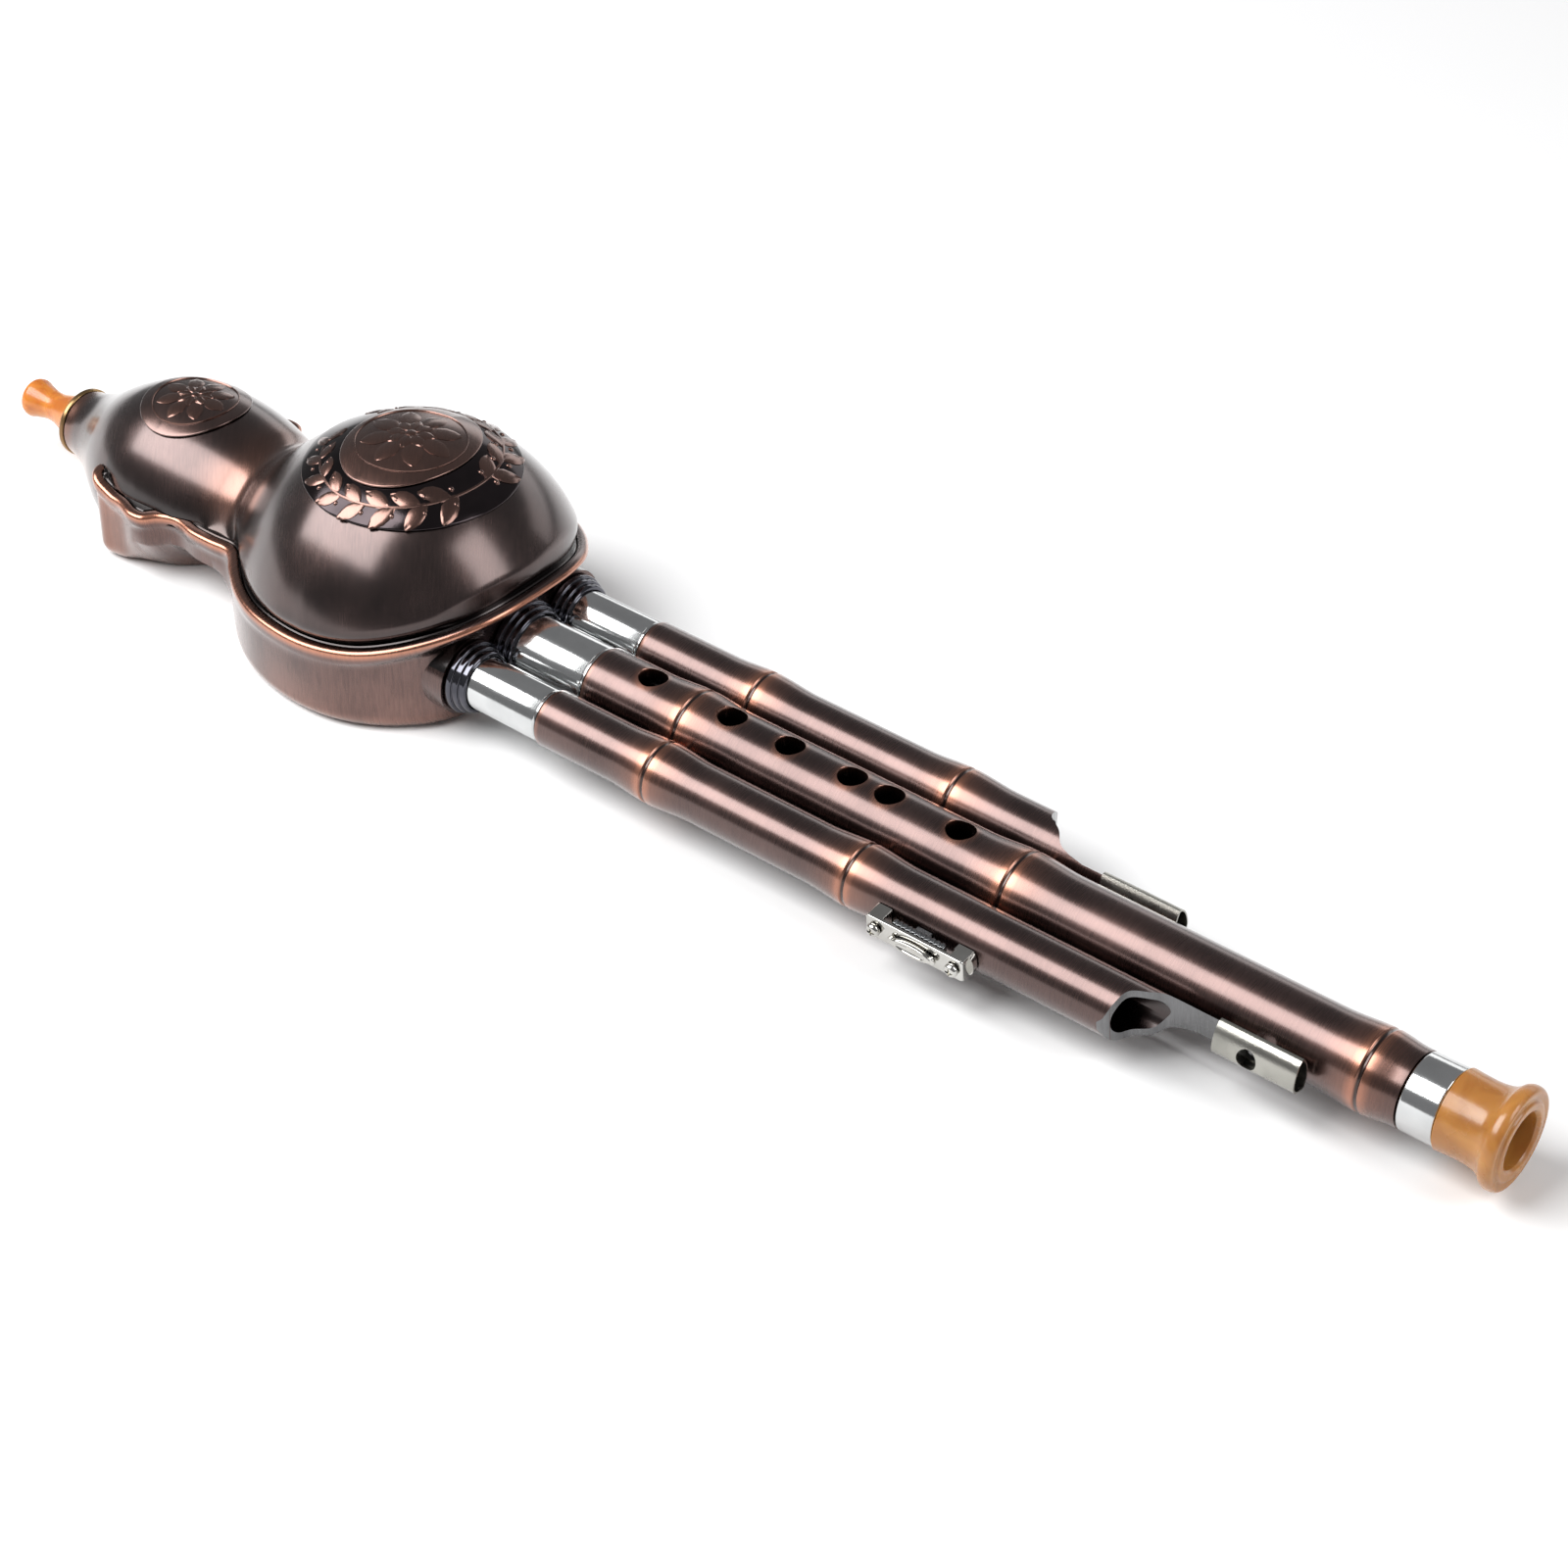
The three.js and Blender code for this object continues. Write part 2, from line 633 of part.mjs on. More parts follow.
// Black collars of the three sockets, one casting with a sleeve into each socket.
function socketPlateSolid() {
  const back = wallFace + seatGap;
  const stepDepth = (plateFront - back) / 3;
  let plate;
  for (const pipe of pipes) {
    const outer = [pipe.flange, pipe.flange - collarStep / 2, pipe.flange - collarStep];
    const sleeveEnd = back - collarSleeveLength;
    const profile = [
      [sleeveEnd, 0],
      [sleeveEnd, pipe.collarBore + collarSleeve],
      [back, pipe.collarBore + collarSleeve],
      [back, outer[0]],
      [back + stepDepth, outer[0]],
      [back + stepDepth, outer[1]],
      [back + 2 * stepDepth, outer[1]],
      [plateFront, outer[2]],
      [plateFront, 0],
    ];
    const collar = turned(profile, pipe.sides, pipe.side);
    plate = plate ? plate.add(collar) : collar;
  }
  for (const pipe of pipes) {
    const through = bar(back - bossDepth, plateFront + overrun, pipe.collarBore, pipe.sides, pipe.side);
    plate = plate.subtract(through);
  }
  return plate;
}

// Rubber seal behind a collar's sleeve.
function sealSolid(pipe) {
  const end = wallFace - collarSleeveLength;
  const outer = pipe.socket - seatGap / 2;
  return tube(end - sealLength, end, outer, pipe.collarBore, pipe.sides, pipe.side);
}

// Chrome ferrule on a pipe's tenon.
function ferruleSolid(pipe) {
  const inner = pipe.tenon + slideGap;
  return tube(tenonEnd + overrun, -seatGap, pipe.ferrule, inner, pipe.sides, pipe.side);
}

// Outline of a pipe's outside with its bamboo nodes, as [x, radius] points from tenon to end.
function pipeOutside(pipe) {
  const shares = [1, 0.5];
  const endShare = 0.9;
  const points = [];
  for (const place of pipe.nodes) {
    const reach = Math.min(nodeReach, endShare * (pipe.length - place));
    const swell = (share) => pipe.radius + (nodeSwell * (1 + Math.cos(Math.PI * share))) / 2;
    for (const share of shares) points.push([place - share * nodeReach, swell(share)]);
    points.push([place - nodeGrooveHalf, pipe.radius + nodeSwell]);
    points.push([place, pipe.radius + nodeSwell - nodeGroove]);
    points.push([place + nodeGrooveHalf, pipe.radius + nodeSwell]);
    for (const share of [...shares].reverse()) points.push([place + share * reach, swell(share)]);
  }
  return points;
}

// Pipe with its tenon and bore, still without holes.
function pipeBlank(pipe) {
  const points = [
    [tenonEnd, pipe.bore],
    [tenonEnd, pipe.tenon],
    [0, pipe.tenon],
    [0, pipe.radius],
    ...pipeOutside(pipe),
    [pipe.length, pipe.radius],
    [pipe.length, pipe.bore],
  ];
  return turned(points, pipe.sides, pipe.side);
}

// Melody pipe: finger holes on top, a thumb hole below, and a counterbore for the bell's tenon.
function mainPipeSolid() {
  const high = mainRadius + nodeSwell + overrun;
  let pipe = pipeBlank(mainPipe);
  for (const place of fingerHolePlaces) {
    pipe = pipe.subtract(prism(place, 0, 0, high, fingerHoleRadius, fingerHoleRadius, 14));
  }
  pipe = pipe.subtract(prism(thumbHolePlace, 0, -high, 0, thumbHoleRadius, thumbHoleRadius, 12));
  const counterbore = bellTenonRadius + seatGap;
  const start = mainLength - bellTenonLength;
  return pipe.subtract(bar(start, mainLength + overrun, counterbore, mainPipe.sides));
}
const bellTenonRadius = mainBore + bellTenonWall;

// Chrome ring between pipe and bell.
function endRingSolid() {
  const start = mainLength + seatGap;
  const end = start + ringLength;
  const outer = mainRadius;
  const bevel = seatGap;
  const inner = bellTenonRadius + seatGap;
  const profile = [
    [start, inner],
    [start, outer - bevel],
    [start + bevel, outer],
    [end - bevel, outer],
    [end, outer - bevel],
    [end, inner],
  ];
  return turned(profile, mainPipe.sides);
}

// Amber bell with its tenon, rolled lip and stepped end face.
function bellSolid() {
  const outsideShares = [
    [0, 0.785], [0.42, 0.77], [0.62, 0.82], [0.72, 0.9], [0.775, 0.98], [0.85, 1], [0.93, 0.985],
    [0.97, 0.93], [0.97, 0.775], [1, 0.74], [1, 0.6],
  ];
  const innerShare = 0.96;
  const tenonStart = mainLength - bellTenonLength + seatGap;
  const profile = [
    [tenonStart, mainBore],
    [tenonStart, bellTenonRadius],
    [bellStart, bellTenonRadius],
    ...outsideShares.map(([x, radius]) => [bellStart + x * bellLength, radius * bellLip]),
    [bellStart + innerShare * bellLength, mainBore],
  ];
  return turned(profile, mainPipe.sides);
}

// Scarf cut of a drone's end: leaves only a tongue of the wall on the side towards the melody pipe.
function scarfCutter(pipe) {
  const start = pipe.length - scarfLength;
  const depth = 2 * pipe.radius - tongueThickness;
  const scarfShares = [
    [0, 0], [0.043, 0.05], [0.07, 0.236], [0.103, 0.52], [0.2, 0.72], [0.257, 0.9], [0.32, 0.96], [0.43, 1],
  ];
  const outward = pipe.radius;
  const shape = new THREE.Shape();
  shape.moveTo(start, outward + overrun);
  for (const [x, share] of scarfShares) shape.lineTo(start + x * scarfLength, outward - share * depth);
  shape.lineTo(pipe.length + overrun, outward - depth);
  shape.lineTo(pipe.length + overrun, outward + overrun);
  shape.closePath();
  const geometry = new THREE.ExtrudeGeometry(shape, { depth: 4 * pipe.radius, bevelEnabled: false });
  geometry.translate(0, 0, -2 * pipe.radius);
  return geometry;
}

// A geometry made in a drone's own frame, where +Y points outwards, turned and moved to its place.
function toDrone(geometry, pipe, turn) {
  geometry.rotateX(turn);
  geometry.translate(0, pipe.side, 0);
  return solidFrom(geometry);
}

// A round drill through a drone, outwards from a height over its axis.
function drill(pipe, turn, place, radius, low) {
  const high = 2 * pipe.radius;
  const geometry = new THREE.CylinderGeometry(radius, radius, high - low, 14);
  geometry.translate(place, (high + low) / 2, 0);
  return toDrone(geometry, pipe, turn);
}

// Outline of the sleeve on the tongue's end: it follows the tongue's back and bulges over its cut face,
// less towards its top.
function sleeveOutline(grow, pipe) {
  const tongueEdge = pipe.radius - tongueThickness;
  const inner = pipe.radius + seatGap + grow;
  const edge = tongueEdge - seatGap;
  const half = Math.sqrt(pipe.radius ** 2 - tongueEdge ** 2) + seatGap + grow;
  const spread = Math.asin(half / inner);
  const shoulderShare = 0.8;
  const slope = sleeveSlope * Math.sign(pipe.side);
  const outer = (x) => sleeveBulge + grow - edge + slope * x;
  const shape = new THREE.Shape();
  shape.absarc(0, 0, inner, -Math.PI / 2 - spread, -Math.PI / 2 + spread, false);
  shape.lineTo(half, -edge);
  const shoulder = half * shoulderShare;
  shape.quadraticCurveTo(shoulder, outer(shoulder), 0, outer(0));
  shape.quadraticCurveTo(-shoulder, outer(-shoulder), -half, -edge);
  return shape;
}
function sleeveStart(pipe) {
  return pipe.length + sleeveOverhang - sleeveLength;
}
function cordHole(pipe) {
  const place = sleeveStart(pipe) + sleeveLength * sleeveHoleShare;
  return drill(pipe, pipe.scarfTurn, place, sleeveHoleRadius, -2 * pipe.radius);
}
function sleeveSolid(pipe) {
  const start = sleeveStart(pipe);
  const along = (shape, from, depth) => {
    const geometry = new THREE.ExtrudeGeometry(shape, { depth, bevelEnabled: false, curveSegments: 5 });
    geometry.rotateY(Math.PI / 2);
    geometry.translate(from, 0, 0);
    return toDrone(geometry, pipe, pipe.scarfTurn);
  };
  const outer = along(sleeveOutline(sleeveWall, pipe), start, sleeveLength);
  const hollow = along(sleeveOutline(0, pipe), start - overrun, sleeveLength + 2 * overrun);
  return outer.subtract(hollow).subtract(cordHole(pipe));
}

// Drone pipe: blank, scarf cut, cord hole in the tongue, sounding hole and two screw holes under the valve.
function dronePipeSolid(pipe) {
  const holes = [
    [pipe.valvePlace - sliderTravel / 2, soundHoleRadius],
    [pipe.valvePlace - screwSpacing / 2, screwRadius + seatGap],
    [pipe.valvePlace + screwSpacing / 2, screwRadius + seatGap],
  ];
  const cut = toDrone(scarfCutter(pipe), pipe, pipe.scarfTurn);
  let drone = pipeBlank(pipe).subtract(cut).subtract(cordHole(pipe));
  for (const [place, radius] of holes) drone = drone.subtract(drill(pipe, pipe.valveTurn, place, radius, 0));
  return drone;
}

// A box in a drone's valve frame: along the pipe, outwards from its axis, and half the width across.
function valveBlock(x0, x1, out0, out1, half) {
  const geometry = new THREE.BoxGeometry(x1 - x0, out1 - out0, 2 * half);
  geometry.translate((x0 + x1) / 2, (out0 + out1) / 2, 0);
  return solidFrom(geometry);
}

// An oval or round pin in a drone's valve frame, standing outwards.
function valvePin(x, out0, out1, halfLength, halfWidth, sides) {
  const geometry = new THREE.CylinderGeometry(1, 1, out1 - out0, sides);
  geometry.scale(halfLength, 1, halfWidth);
  geometry.translate(x, (out0 + out1) / 2, 0);
  return solidFrom(geometry);
}

// The pipe grown by a clearance, which the valve's parts saddle.
function saddle(pipe, clearance) {
  return bar(-screwSpacing, screwSpacing, pipe.radius + clearance, pipe.sides * 2);
}

// Valve base: two saddled posts, the slotted plate across them and a rounded tab past the lower post.
function valveBaseSolid(pipe) {
  const half = valveWidth / 2;
  const reach = screwSpacing / 2 + screwEdge;
  const window = (barLength + sliderTravel) / 2 + seatGap;
  const under = pipe.radius + valvePost;
  const top = under + valvePlate;
  let base = valveBlock(-reach, reach, under, top, half);
  for (const [x0, x1] of [[-reach, -window], [window, reach]]) {
    base = base.add(valveBlock(x0, x1, 0, under + valvePlate / 2, half));
  }
  const tabTop = pipe.radius + valveTabHeight;
  const tabMiddle = reach + valveTab - half;
  const tabRound = valvePin(tabMiddle, 0, tabTop, half, half, 20).intersect(
    valveBlock(window, reach + valveTab, 0, tabTop, half),
  );
  base = base.add(valveBlock(window, tabMiddle, 0, tabTop, half)).add(tabRound);
  const slotHalf = (stemLength + sliderTravel) / 2 + seatGap;
  base = base
    .subtract(saddle(pipe, seatGap))
    .subtract(valveBlock(-slotHalf, slotHalf, 0, top + overrun, stemWidth / 2 + seatGap));
  for (const side of [-1, 1]) {
    const clear = screwRadius + seatGap;
    base = base.subtract(valvePin((side * screwSpacing) / 2, 0, top + overrun, clear, clear, 12));
  }
  return base;
}

// Ribbed bar between the posts, with notches along both long edges.
function valveBarSolid(pipe) {
  const top = pipe.radius + valvePost - seatGap;
  const half = barLength / 2;
  const ribs = 11;
  const pitch = barLength / ribs;
  const notchShare = 0.2;
  const depthShare = 0.06;
  let body = valveBlock(-half, half, top - barThickness, top, valveWidth / 2);
  for (let i = 1; i < ribs; i++) {
    const middle = i * pitch - half;
    const notchHalf = notchShare * pitch;
    const depth = depthShare * valveWidth;
    const notch = valveBlock(middle - notchHalf, middle + notchHalf, 0, top + overrun, depth);
    for (const side of [-1, 1]) body = body.subtract(notch.translate([0, 0, (side * valveWidth) / 2]));
  }
  return body;
}

// Thumbpiece: a stem through the plate's slot with an oval, dished head between two round studs.
function valveThumbpieceSolid(pipe) {
  const foot = pipe.radius + valvePost;
  const low = foot + valvePlate + seatGap;
  const high = low + thumbpieceHeight;
  const headHalf = thumbpieceLength / 2 - studRadius;
  const dishShares = { length: 0.72, depth: 0.6, width: 0.36 };
  const dish = new THREE.SphereGeometry(1, 12, 8);
  const dishDepth = thumbpieceHeight * dishShares.depth;
  dish.scale(headHalf * dishShares.length, dishDepth, thumbpieceWidth * dishShares.width);
  dish.translate(0, high, 0);
  let piece = valvePin(0, low, high, headHalf, thumbpieceWidth / 2, 20)
    .add(valveBlock(-stemLength / 2, stemLength / 2, foot, low + thumbpieceHeight / 4, stemWidth / 2))
    .add(valveBlock(-headHalf, headHalf, low, low + thumbpieceHeight / 2, studRadius / 2))
    .subtract(solidFrom(dish));
  for (const side of [-1, 1]) {
    const stud = valvePin(side * headHalf, low, high - thumbpieceHeight / 6, studRadius, studRadius, 12);
    piece = piece.add(stud);
  }
  return piece;
}

// Felt pad under the bar, curved to the pipe, which shuts the sounding hole at one end of the travel.
function valvePadSolid(pipe) {
  const top = pipe.radius + valvePost - barThickness - 2 * seatGap;
  return valveBlock(-padLength / 2, padLength / 2, 0, top, padWidth / 2).subtract(saddle(pipe, seatGap));
}

// Pan-head screw with a crossed recess: through the plate and a post into the pipe's wall.
function valveScrewSolid(pipe) {
  const seat = pipe.radius + valvePost + valvePlate + seatGap;
  const tip = pipe.bore + seatGap;
  const shares = [[1, 0], [1, 0.35], [0.8, 0.8], [0.4, 1], [0, 1]];
  const profile = [
    [0, tip],
    [screwRadius, tip],
    [screwRadius, seat],
    ...shares.map(([r, height]) => [r * screwHeadRadius, seat + height * screwHeadHeight]),
  ];
  const body = new THREE.LatheGeometry(profile.map(([r, out]) => new THREE.Vector2(r, out)), 12);
  const slotShares = { length: 0.55, width: 0.16 };
  const slotHalf = screwHeadRadius * slotShares.length;
  const slotWidth = screwHeadRadius * slotShares.width;
  const slotLow = seat + screwHeadHeight / 2;
  const slotHigh = seat + screwHeadHeight + overrun;
  return solidFrom(body)
    .subtract(valveBlock(-slotHalf, slotHalf, slotLow, slotHigh, slotWidth))
    .subtract(valveBlock(-slotWidth, slotWidth, slotLow, slotHigh, slotHalf));
}

// What a pipe's reed tube, plate and plug share: places along the pipe, radius and the height of its flat.
function reedSizes(pipe) {
  const shares = { radius: 0.78, flat: 0.55, flatStart: 0.08, flatEnd: 0.86 };
  const far = tenonEnd - pipe.reed;
  const radius = pipe.bore * shares.radius;
  const flat = radius * shares.flat;
  const half = Math.sqrt(radius ** 2 - flat ** 2);
  const start = far + pipe.reed * shares.flatStart;
  const end = far + pipe.reed * shares.flatEnd;
  return { far, radius, flat, half, start, end };
}

// Reed tube: plugs into the tenon's bore and carries the reed plate on a flat.
function reedTubeSolid(pipe) {
  const reed = reedSizes(pipe);
  const plugShare = 0.2;
  const plugEnd = tenonEnd + plugShare * tenonLength;
  const bore = reed.radius - reedWall;
  const profile = [
    [reed.far, bore],
    [reed.far, reed.radius],
    [tenonEnd - seatGap, reed.radius],
    [tenonEnd - seatGap, pipe.bore - seatGap],
    [plugEnd, pipe.bore - seatGap],
    [plugEnd, bore],
  ];
  const flat = block(
    [reed.start, pipe.side - pipe.bore, reed.flat],
    [reed.end, pipe.side + pipe.bore, reed.flat + 2 * pipe.bore],
  );
  return turned(profile, reedSides, pipe.side).subtract(flat);
}

// Reed plate: thin brass with a long slot cut round its tongue, lying on the tube's flat.
function reedPlateSolid(pipe) {
  const reed = reedSizes(pipe);
  const shares = { root: 0.2, tip: 0.78, tongue: 0.32 };
  const from = reed.start + seatGap;
  const length = reed.end - seatGap - from;
  const low = reed.flat + seatGap;
  const high = low + reedPlate;
  const tongue = reed.half * shares.tongue;
  const root = from + length * shares.root;
  const tip = from + length * shares.tip;
  const slit = (x0, x1, y0, y1) =>
    block([x0, pipe.side + y0, low - overrun], [x1, pipe.side + y1, high + overrun]);
  return block([from, pipe.side - reed.half, low], [from + length, pipe.side + reed.half, high])
    .subtract(slit(root, tip + reedSlit, tongue, tongue + reedSlit))
    .subtract(slit(root, tip + reedSlit, -tongue - reedSlit, -tongue))
    .subtract(slit(tip, tip + reedSlit, -tongue - reedSlit, tongue + reedSlit));
}

// Plug that closes a reed tube's far end.
function reedPlugSolid(pipe) {
  const reed = reedSizes(pipe);
  const depthShare = 0.07;
  const depth = pipe.reed * depthShare;
  const end = reed.far - seatGap;
  const inner = reed.radius - reedWall - seatGap;
  const profile = [
    [end - depth / 2, 0],
    [end - depth / 2, reed.radius],
    [end, reed.radius],
    [end, inner],
    [reed.far + depth, inner],
    [reed.far + depth, 0],
  ];
  return turned(profile, reedSides, pipe.side);
}

// Thin ring on the neck's mouth.
function neckRimSolid() {
  const end = neckEnd - seatGap;
  const start = end - neckRimLength;
  const outer = neckShares[0][1] * bulbRadius + neckRimStep;
  const bevel = neckRimLength / 4;
  const inner = mouthpieceRoot + seatGap;
  const profile = [
    [start, inner],
    [start, outer - bevel],
    [start + bevel, outer],
    [end - bevel, outer],
    [end, outer - bevel],
    [end, inner],
  ];
  return turned(profile, neckSides).translate([0, 0, neckAxis]);
}

// Mouthpiece: a lipped tip, a slim waist, a flared root and a tenon in the neck.
function mouthpieceSolid() {
  const end = neckEnd - seatGap;
  const shown = end - mouthEnd;
  const tenon = neckBore - seatGap;
  const lipShares = [[0, 0.8], [0.03, 0.95], [0.09, 1], [0.16, 0.92]];
  const waistShares = [[0.25, 1.1], [0.36, 1], [0.5, 1.04], [0.66, 1.28]];
  const rootShares = [[0.8, 0.84], [0.92, 1]];
  const outside = [
    ...lipShares.map(([x, radius]) => [x, radius * mouthpieceLip]),
    ...waistShares.map(([x, radius]) => [x, radius * mouthpieceWaist]),
    ...rootShares.map(([x, radius]) => [x, radius * mouthpieceRoot]),
  ];
  const profile = [
    [mouthEnd, mouthBore],
    ...outside.map(([x, radius]) => [mouthEnd + x * shown, radius]),
    [end, mouthpieceRoot],
    [end, tenon],
    [neckEnd + mouthpieceTenon, tenon],
    [neckEnd + mouthpieceTenon, mouthBore],
  ];
  return turned(profile, mouthSides).translate([0, 0, neckAxis]);
}

const hulusi = new THREE.Group();
const pipeFrame = new THREE.Group();
pipeFrame.position.set(-(mouthEnd + bellEnd) / 2, 0, floorDepth);
hulusi.add(pipeFrame);

// Wind chest.
pipeFrame.add(meshFrom(backShellSolid(), "back_shell", copper));
pipeFrame.add(meshFrom(frontShellSolid(), "front_shell", darkCopper));
pipeFrame.add(
  meshFrom(
    medallionSolid(bulbX, upperMedallionRadius, upperMedallionRadius, seatGap, seatGap + upperMedallionRise),
    "upper_medallion",
    copper,
  ),
);
pipeFrame.add(
  meshFrom(
    medallionSolid(domeX, lowerMedallionRadius, lowerMedallionRadius, seatGap, seatGap + medallionRise),
    "lower_medallion",
    blackChrome,
  ),
);
const bossLow = 2 * seatGap + medallionRise;
pipeFrame.add(
  meshFrom(
    medallionSolid(domeX, bossHalfLength, bossHalfWidth, bossLow, bossLow + bossRise),
    "medallion_boss",
    copper,
  ),
);
pipeFrame.add(meshFrom(socketPlateSolid(), "socket_plate", blackChrome));
pipeFrame.add(meshFrom(neckRimSolid(), "neck_rim", goldRim));
pipeFrame.add(meshFrom(mouthpieceSolid(), "mouthpiece", amber));

// What all three pipes share.
for (const pipe of pipes) {
  pipeFrame.add(meshFrom(sealSolid(pipe), `${pipe.name}_socket_seal`, rubber));
  pipeFrame.add(meshFrom(ferruleSolid(pipe), `${pipe.name}_ferrule`, chrome));
  pipeFrame.add(meshFrom(reedTubeSolid(pipe), `${pipe.name}_reed_tube`, brass));
  pipeFrame.add(meshFrom(reedPlateSolid(pipe), `${pipe.name}_reed_plate`, brass));
  pipeFrame.add(meshFrom(reedPlugSolid(pipe), `${pipe.name}_reed_plug`, amber));
}

// Melody pipe with ring and bell.
pipeFrame.add(meshFrom(mainPipeSolid(), "main_pipe", copper));
pipeFrame.add(meshFrom(endRingSolid(), "main_end_ring", chrome));
pipeFrame.add(meshFrom(bellSolid(), "main_bell", amber));

// Drones, each with its cord sleeve and its valve in a turned group on the drone's outer side.
for (const pipe of drones) {
  pipeFrame.add(meshFrom(dronePipeSolid(pipe), `${pipe.name}_drone_pipe`, copper));
  pipeFrame.add(meshFrom(sleeveSolid(pipe), `${pipe.name}_cord_sleeve`, nickel));
  const valve = new THREE.Group();
  valve.position.set(pipe.valvePlace, pipe.side, 0);
  valve.rotation.x = pipe.valveTurn;
  valve.add(meshFrom(valveBaseSolid(pipe), `${pipe.name}_valve_base`, nickel));
  valve.add(meshFrom(valveBarSolid(pipe), `${pipe.name}_valve_bar`, darkGrey));
  valve.add(meshFrom(valveThumbpieceSolid(pipe), `${pipe.name}_valve_thumbpiece`, nickel));
  valve.add(meshFrom(valvePadSolid(pipe), `${pipe.name}_valve_pad`, felt));
  for (const [end, side] of [["upper", -1], ["lower", 1]]) {
    const screw = meshFrom(valveScrewSolid(pipe), `${pipe.name}_valve_screw_${end}`, nickel);
    screw.position.x = (side * screwSpacing) / 2;
    valve.add(screw);
  }
  pipeFrame.add(valve);
}

export default hulusi;
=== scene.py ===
"""Hulusi: gourd wind chest, melody pipe and two drones with slide valves, amber mouthpiece and bell.

Meshes are built in millimetres in the pipe frame: x = 0 where the copper of the pipes begins, z = 0 on their
axes, bell towards +X, finger holes up. settle() brings them into the row frame, in metres.
"""

import logging
import math
from contextlib import contextmanager
from dataclasses import dataclass
from enum import Enum
from functools import cache, cached_property
from typing import Callable, Iterator, Sequence

import bmesh
import bpy
import numpy as np
from mathutils import Matrix, Vector


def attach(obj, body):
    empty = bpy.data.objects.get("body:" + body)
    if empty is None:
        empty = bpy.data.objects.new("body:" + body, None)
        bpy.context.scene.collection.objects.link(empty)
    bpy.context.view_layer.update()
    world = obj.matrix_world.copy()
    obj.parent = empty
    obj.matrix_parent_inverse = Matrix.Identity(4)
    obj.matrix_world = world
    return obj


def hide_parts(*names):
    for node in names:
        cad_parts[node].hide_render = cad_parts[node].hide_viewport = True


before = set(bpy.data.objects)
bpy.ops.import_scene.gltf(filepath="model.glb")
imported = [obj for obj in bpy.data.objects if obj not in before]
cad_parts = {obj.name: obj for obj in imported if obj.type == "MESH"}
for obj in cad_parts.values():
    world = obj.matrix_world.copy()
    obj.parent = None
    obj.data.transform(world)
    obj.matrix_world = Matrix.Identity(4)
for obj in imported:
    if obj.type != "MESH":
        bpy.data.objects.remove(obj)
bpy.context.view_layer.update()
log = logging.getLogger("hulusi")

Obj = bpy.types.Object
Array = np.ndarray
MM = 0.001
PIPE_FRAME = Vector((-23.5, 0.0, 13.0))
GAP = 0.3
SINK = 0.06
OVERRUN = 2.0
WELD = 1e-4
TURN = 2 * math.pi
QUARTER = math.pi / 2
FLOAT = "NodeSocketFloat"
CHEST = "wind_chest"
TENON_END = -44.0
PLATE_FRONT = -20.5
WALL_FACE = -25.5
BOSS_DEPTH = 12.5


class Cut(Enum):
    """Ways of combining two solids."""

    TAKE = "DIFFERENCE"
    JOIN = "UNION"
    KEEP = "INTERSECT"


def smoothstep(value: Array | float, low: float, high: float) -> Array:
    """Ramps smoothly from 0 at a low place to 1 at a high one."""
    share = np.clip((np.asarray(value, float) - low) / (high - low), 0.0, 1.0)
    return share * share * (3.0 - 2.0 * share)


def blend(start: Array | float, end: Array | float, share: Array | float) -> Array:
    """Mixes two values by the share of the second."""
    return start + (end - start) * share


def bow(start: Array, bend: Array, end: Array, share: Array | float) -> Array:
    """Gives the place at a share of a bow from start to end that leans towards bend."""
    return (1 - share) ** 2 * start + 2 * share * (1 - share) * bend + share**2 * end


def hump(away: Array, width: float, power: int = 2) -> Array:
    """Gives a hump of height 1 that falls off over a width."""
    return np.exp(-((away / width) ** power))


def circle(sides: int) -> Array:
    """Gives evenly spaced angles of one turn."""
    return np.arange(sides) * (TURN / sides)


def raised(plan: Array, z: Array | float) -> Array:
    """Lifts an outline in plan to its heights."""
    return np.column_stack([plan, np.broadcast_to(z, (len(plan),))])


def through(points: Sequence, steps: int) -> Array:
    """Runs a smooth centripetal curve through points.

    Args:
        points: Points to pass through.
        steps: Places per span.

    Returns:
        The places on the curve, ends included.
    """
    held = np.asarray(points, float)
    padded = np.vstack([2 * held[0] - held[1], held, 2 * held[-1] - held[-2]])
    places = []
    for a, b, c, d in zip(padded, padded[1:], padded[2:], padded[3:]):
        da, db, dc = (max(np.linalg.norm(v) ** 0.5, 1e-6) for v in (b - a, c - b, d - c))
        leave = ((b - a) / da - (c - a) / (da + db) + (c - b) / db) * db
        reach = ((c - b) / db - (d - b) / (db + dc) + (d - c) / dc) * db
        for t in np.arange(steps) / steps:
            square = (-3 * b + 3 * c - 2 * leave - reach) * t**2
            places.append(b + leave * t + square + (2 * b - 2 * c + leave + reach) * t**3)
    return np.array([*places, held[-1]])


def rounded(corners: Sequence, steps: int = 5) -> Array:
    """Rounds the corners of an outline that give a third number, the length to take off each side.

    Args:
        corners: Corners as (x, y) or (x, y, round).
        steps: Spans in each round.

    Returns:
        The outline's points.
    """
    places = []
    for i, corner in enumerate(corners):
        here = np.array(corner[:2], float)
        if len(corner) < 3 or corner[2] <= 0.0:
            places.append(here)
            continue
        ends = []
        for other in (corners[i - 1], corners[(i + 1) % len(corners)]):
            away = np.array(other[:2], float) - here
            ends.append(here + away * min(corner[2] / np.linalg.norm(away), 0.5))
        places += [bow(ends[0], here, ends[1], k / steps) for k in range(steps + 1)]
    return np.array(places)


def linked(name: str, data: bpy.types.ID) -> Obj:
    """Makes an object and links it to the scene."""
    bpy.context.scene.collection.objects.link(obj := bpy.data.objects.new(name, data))
    return obj


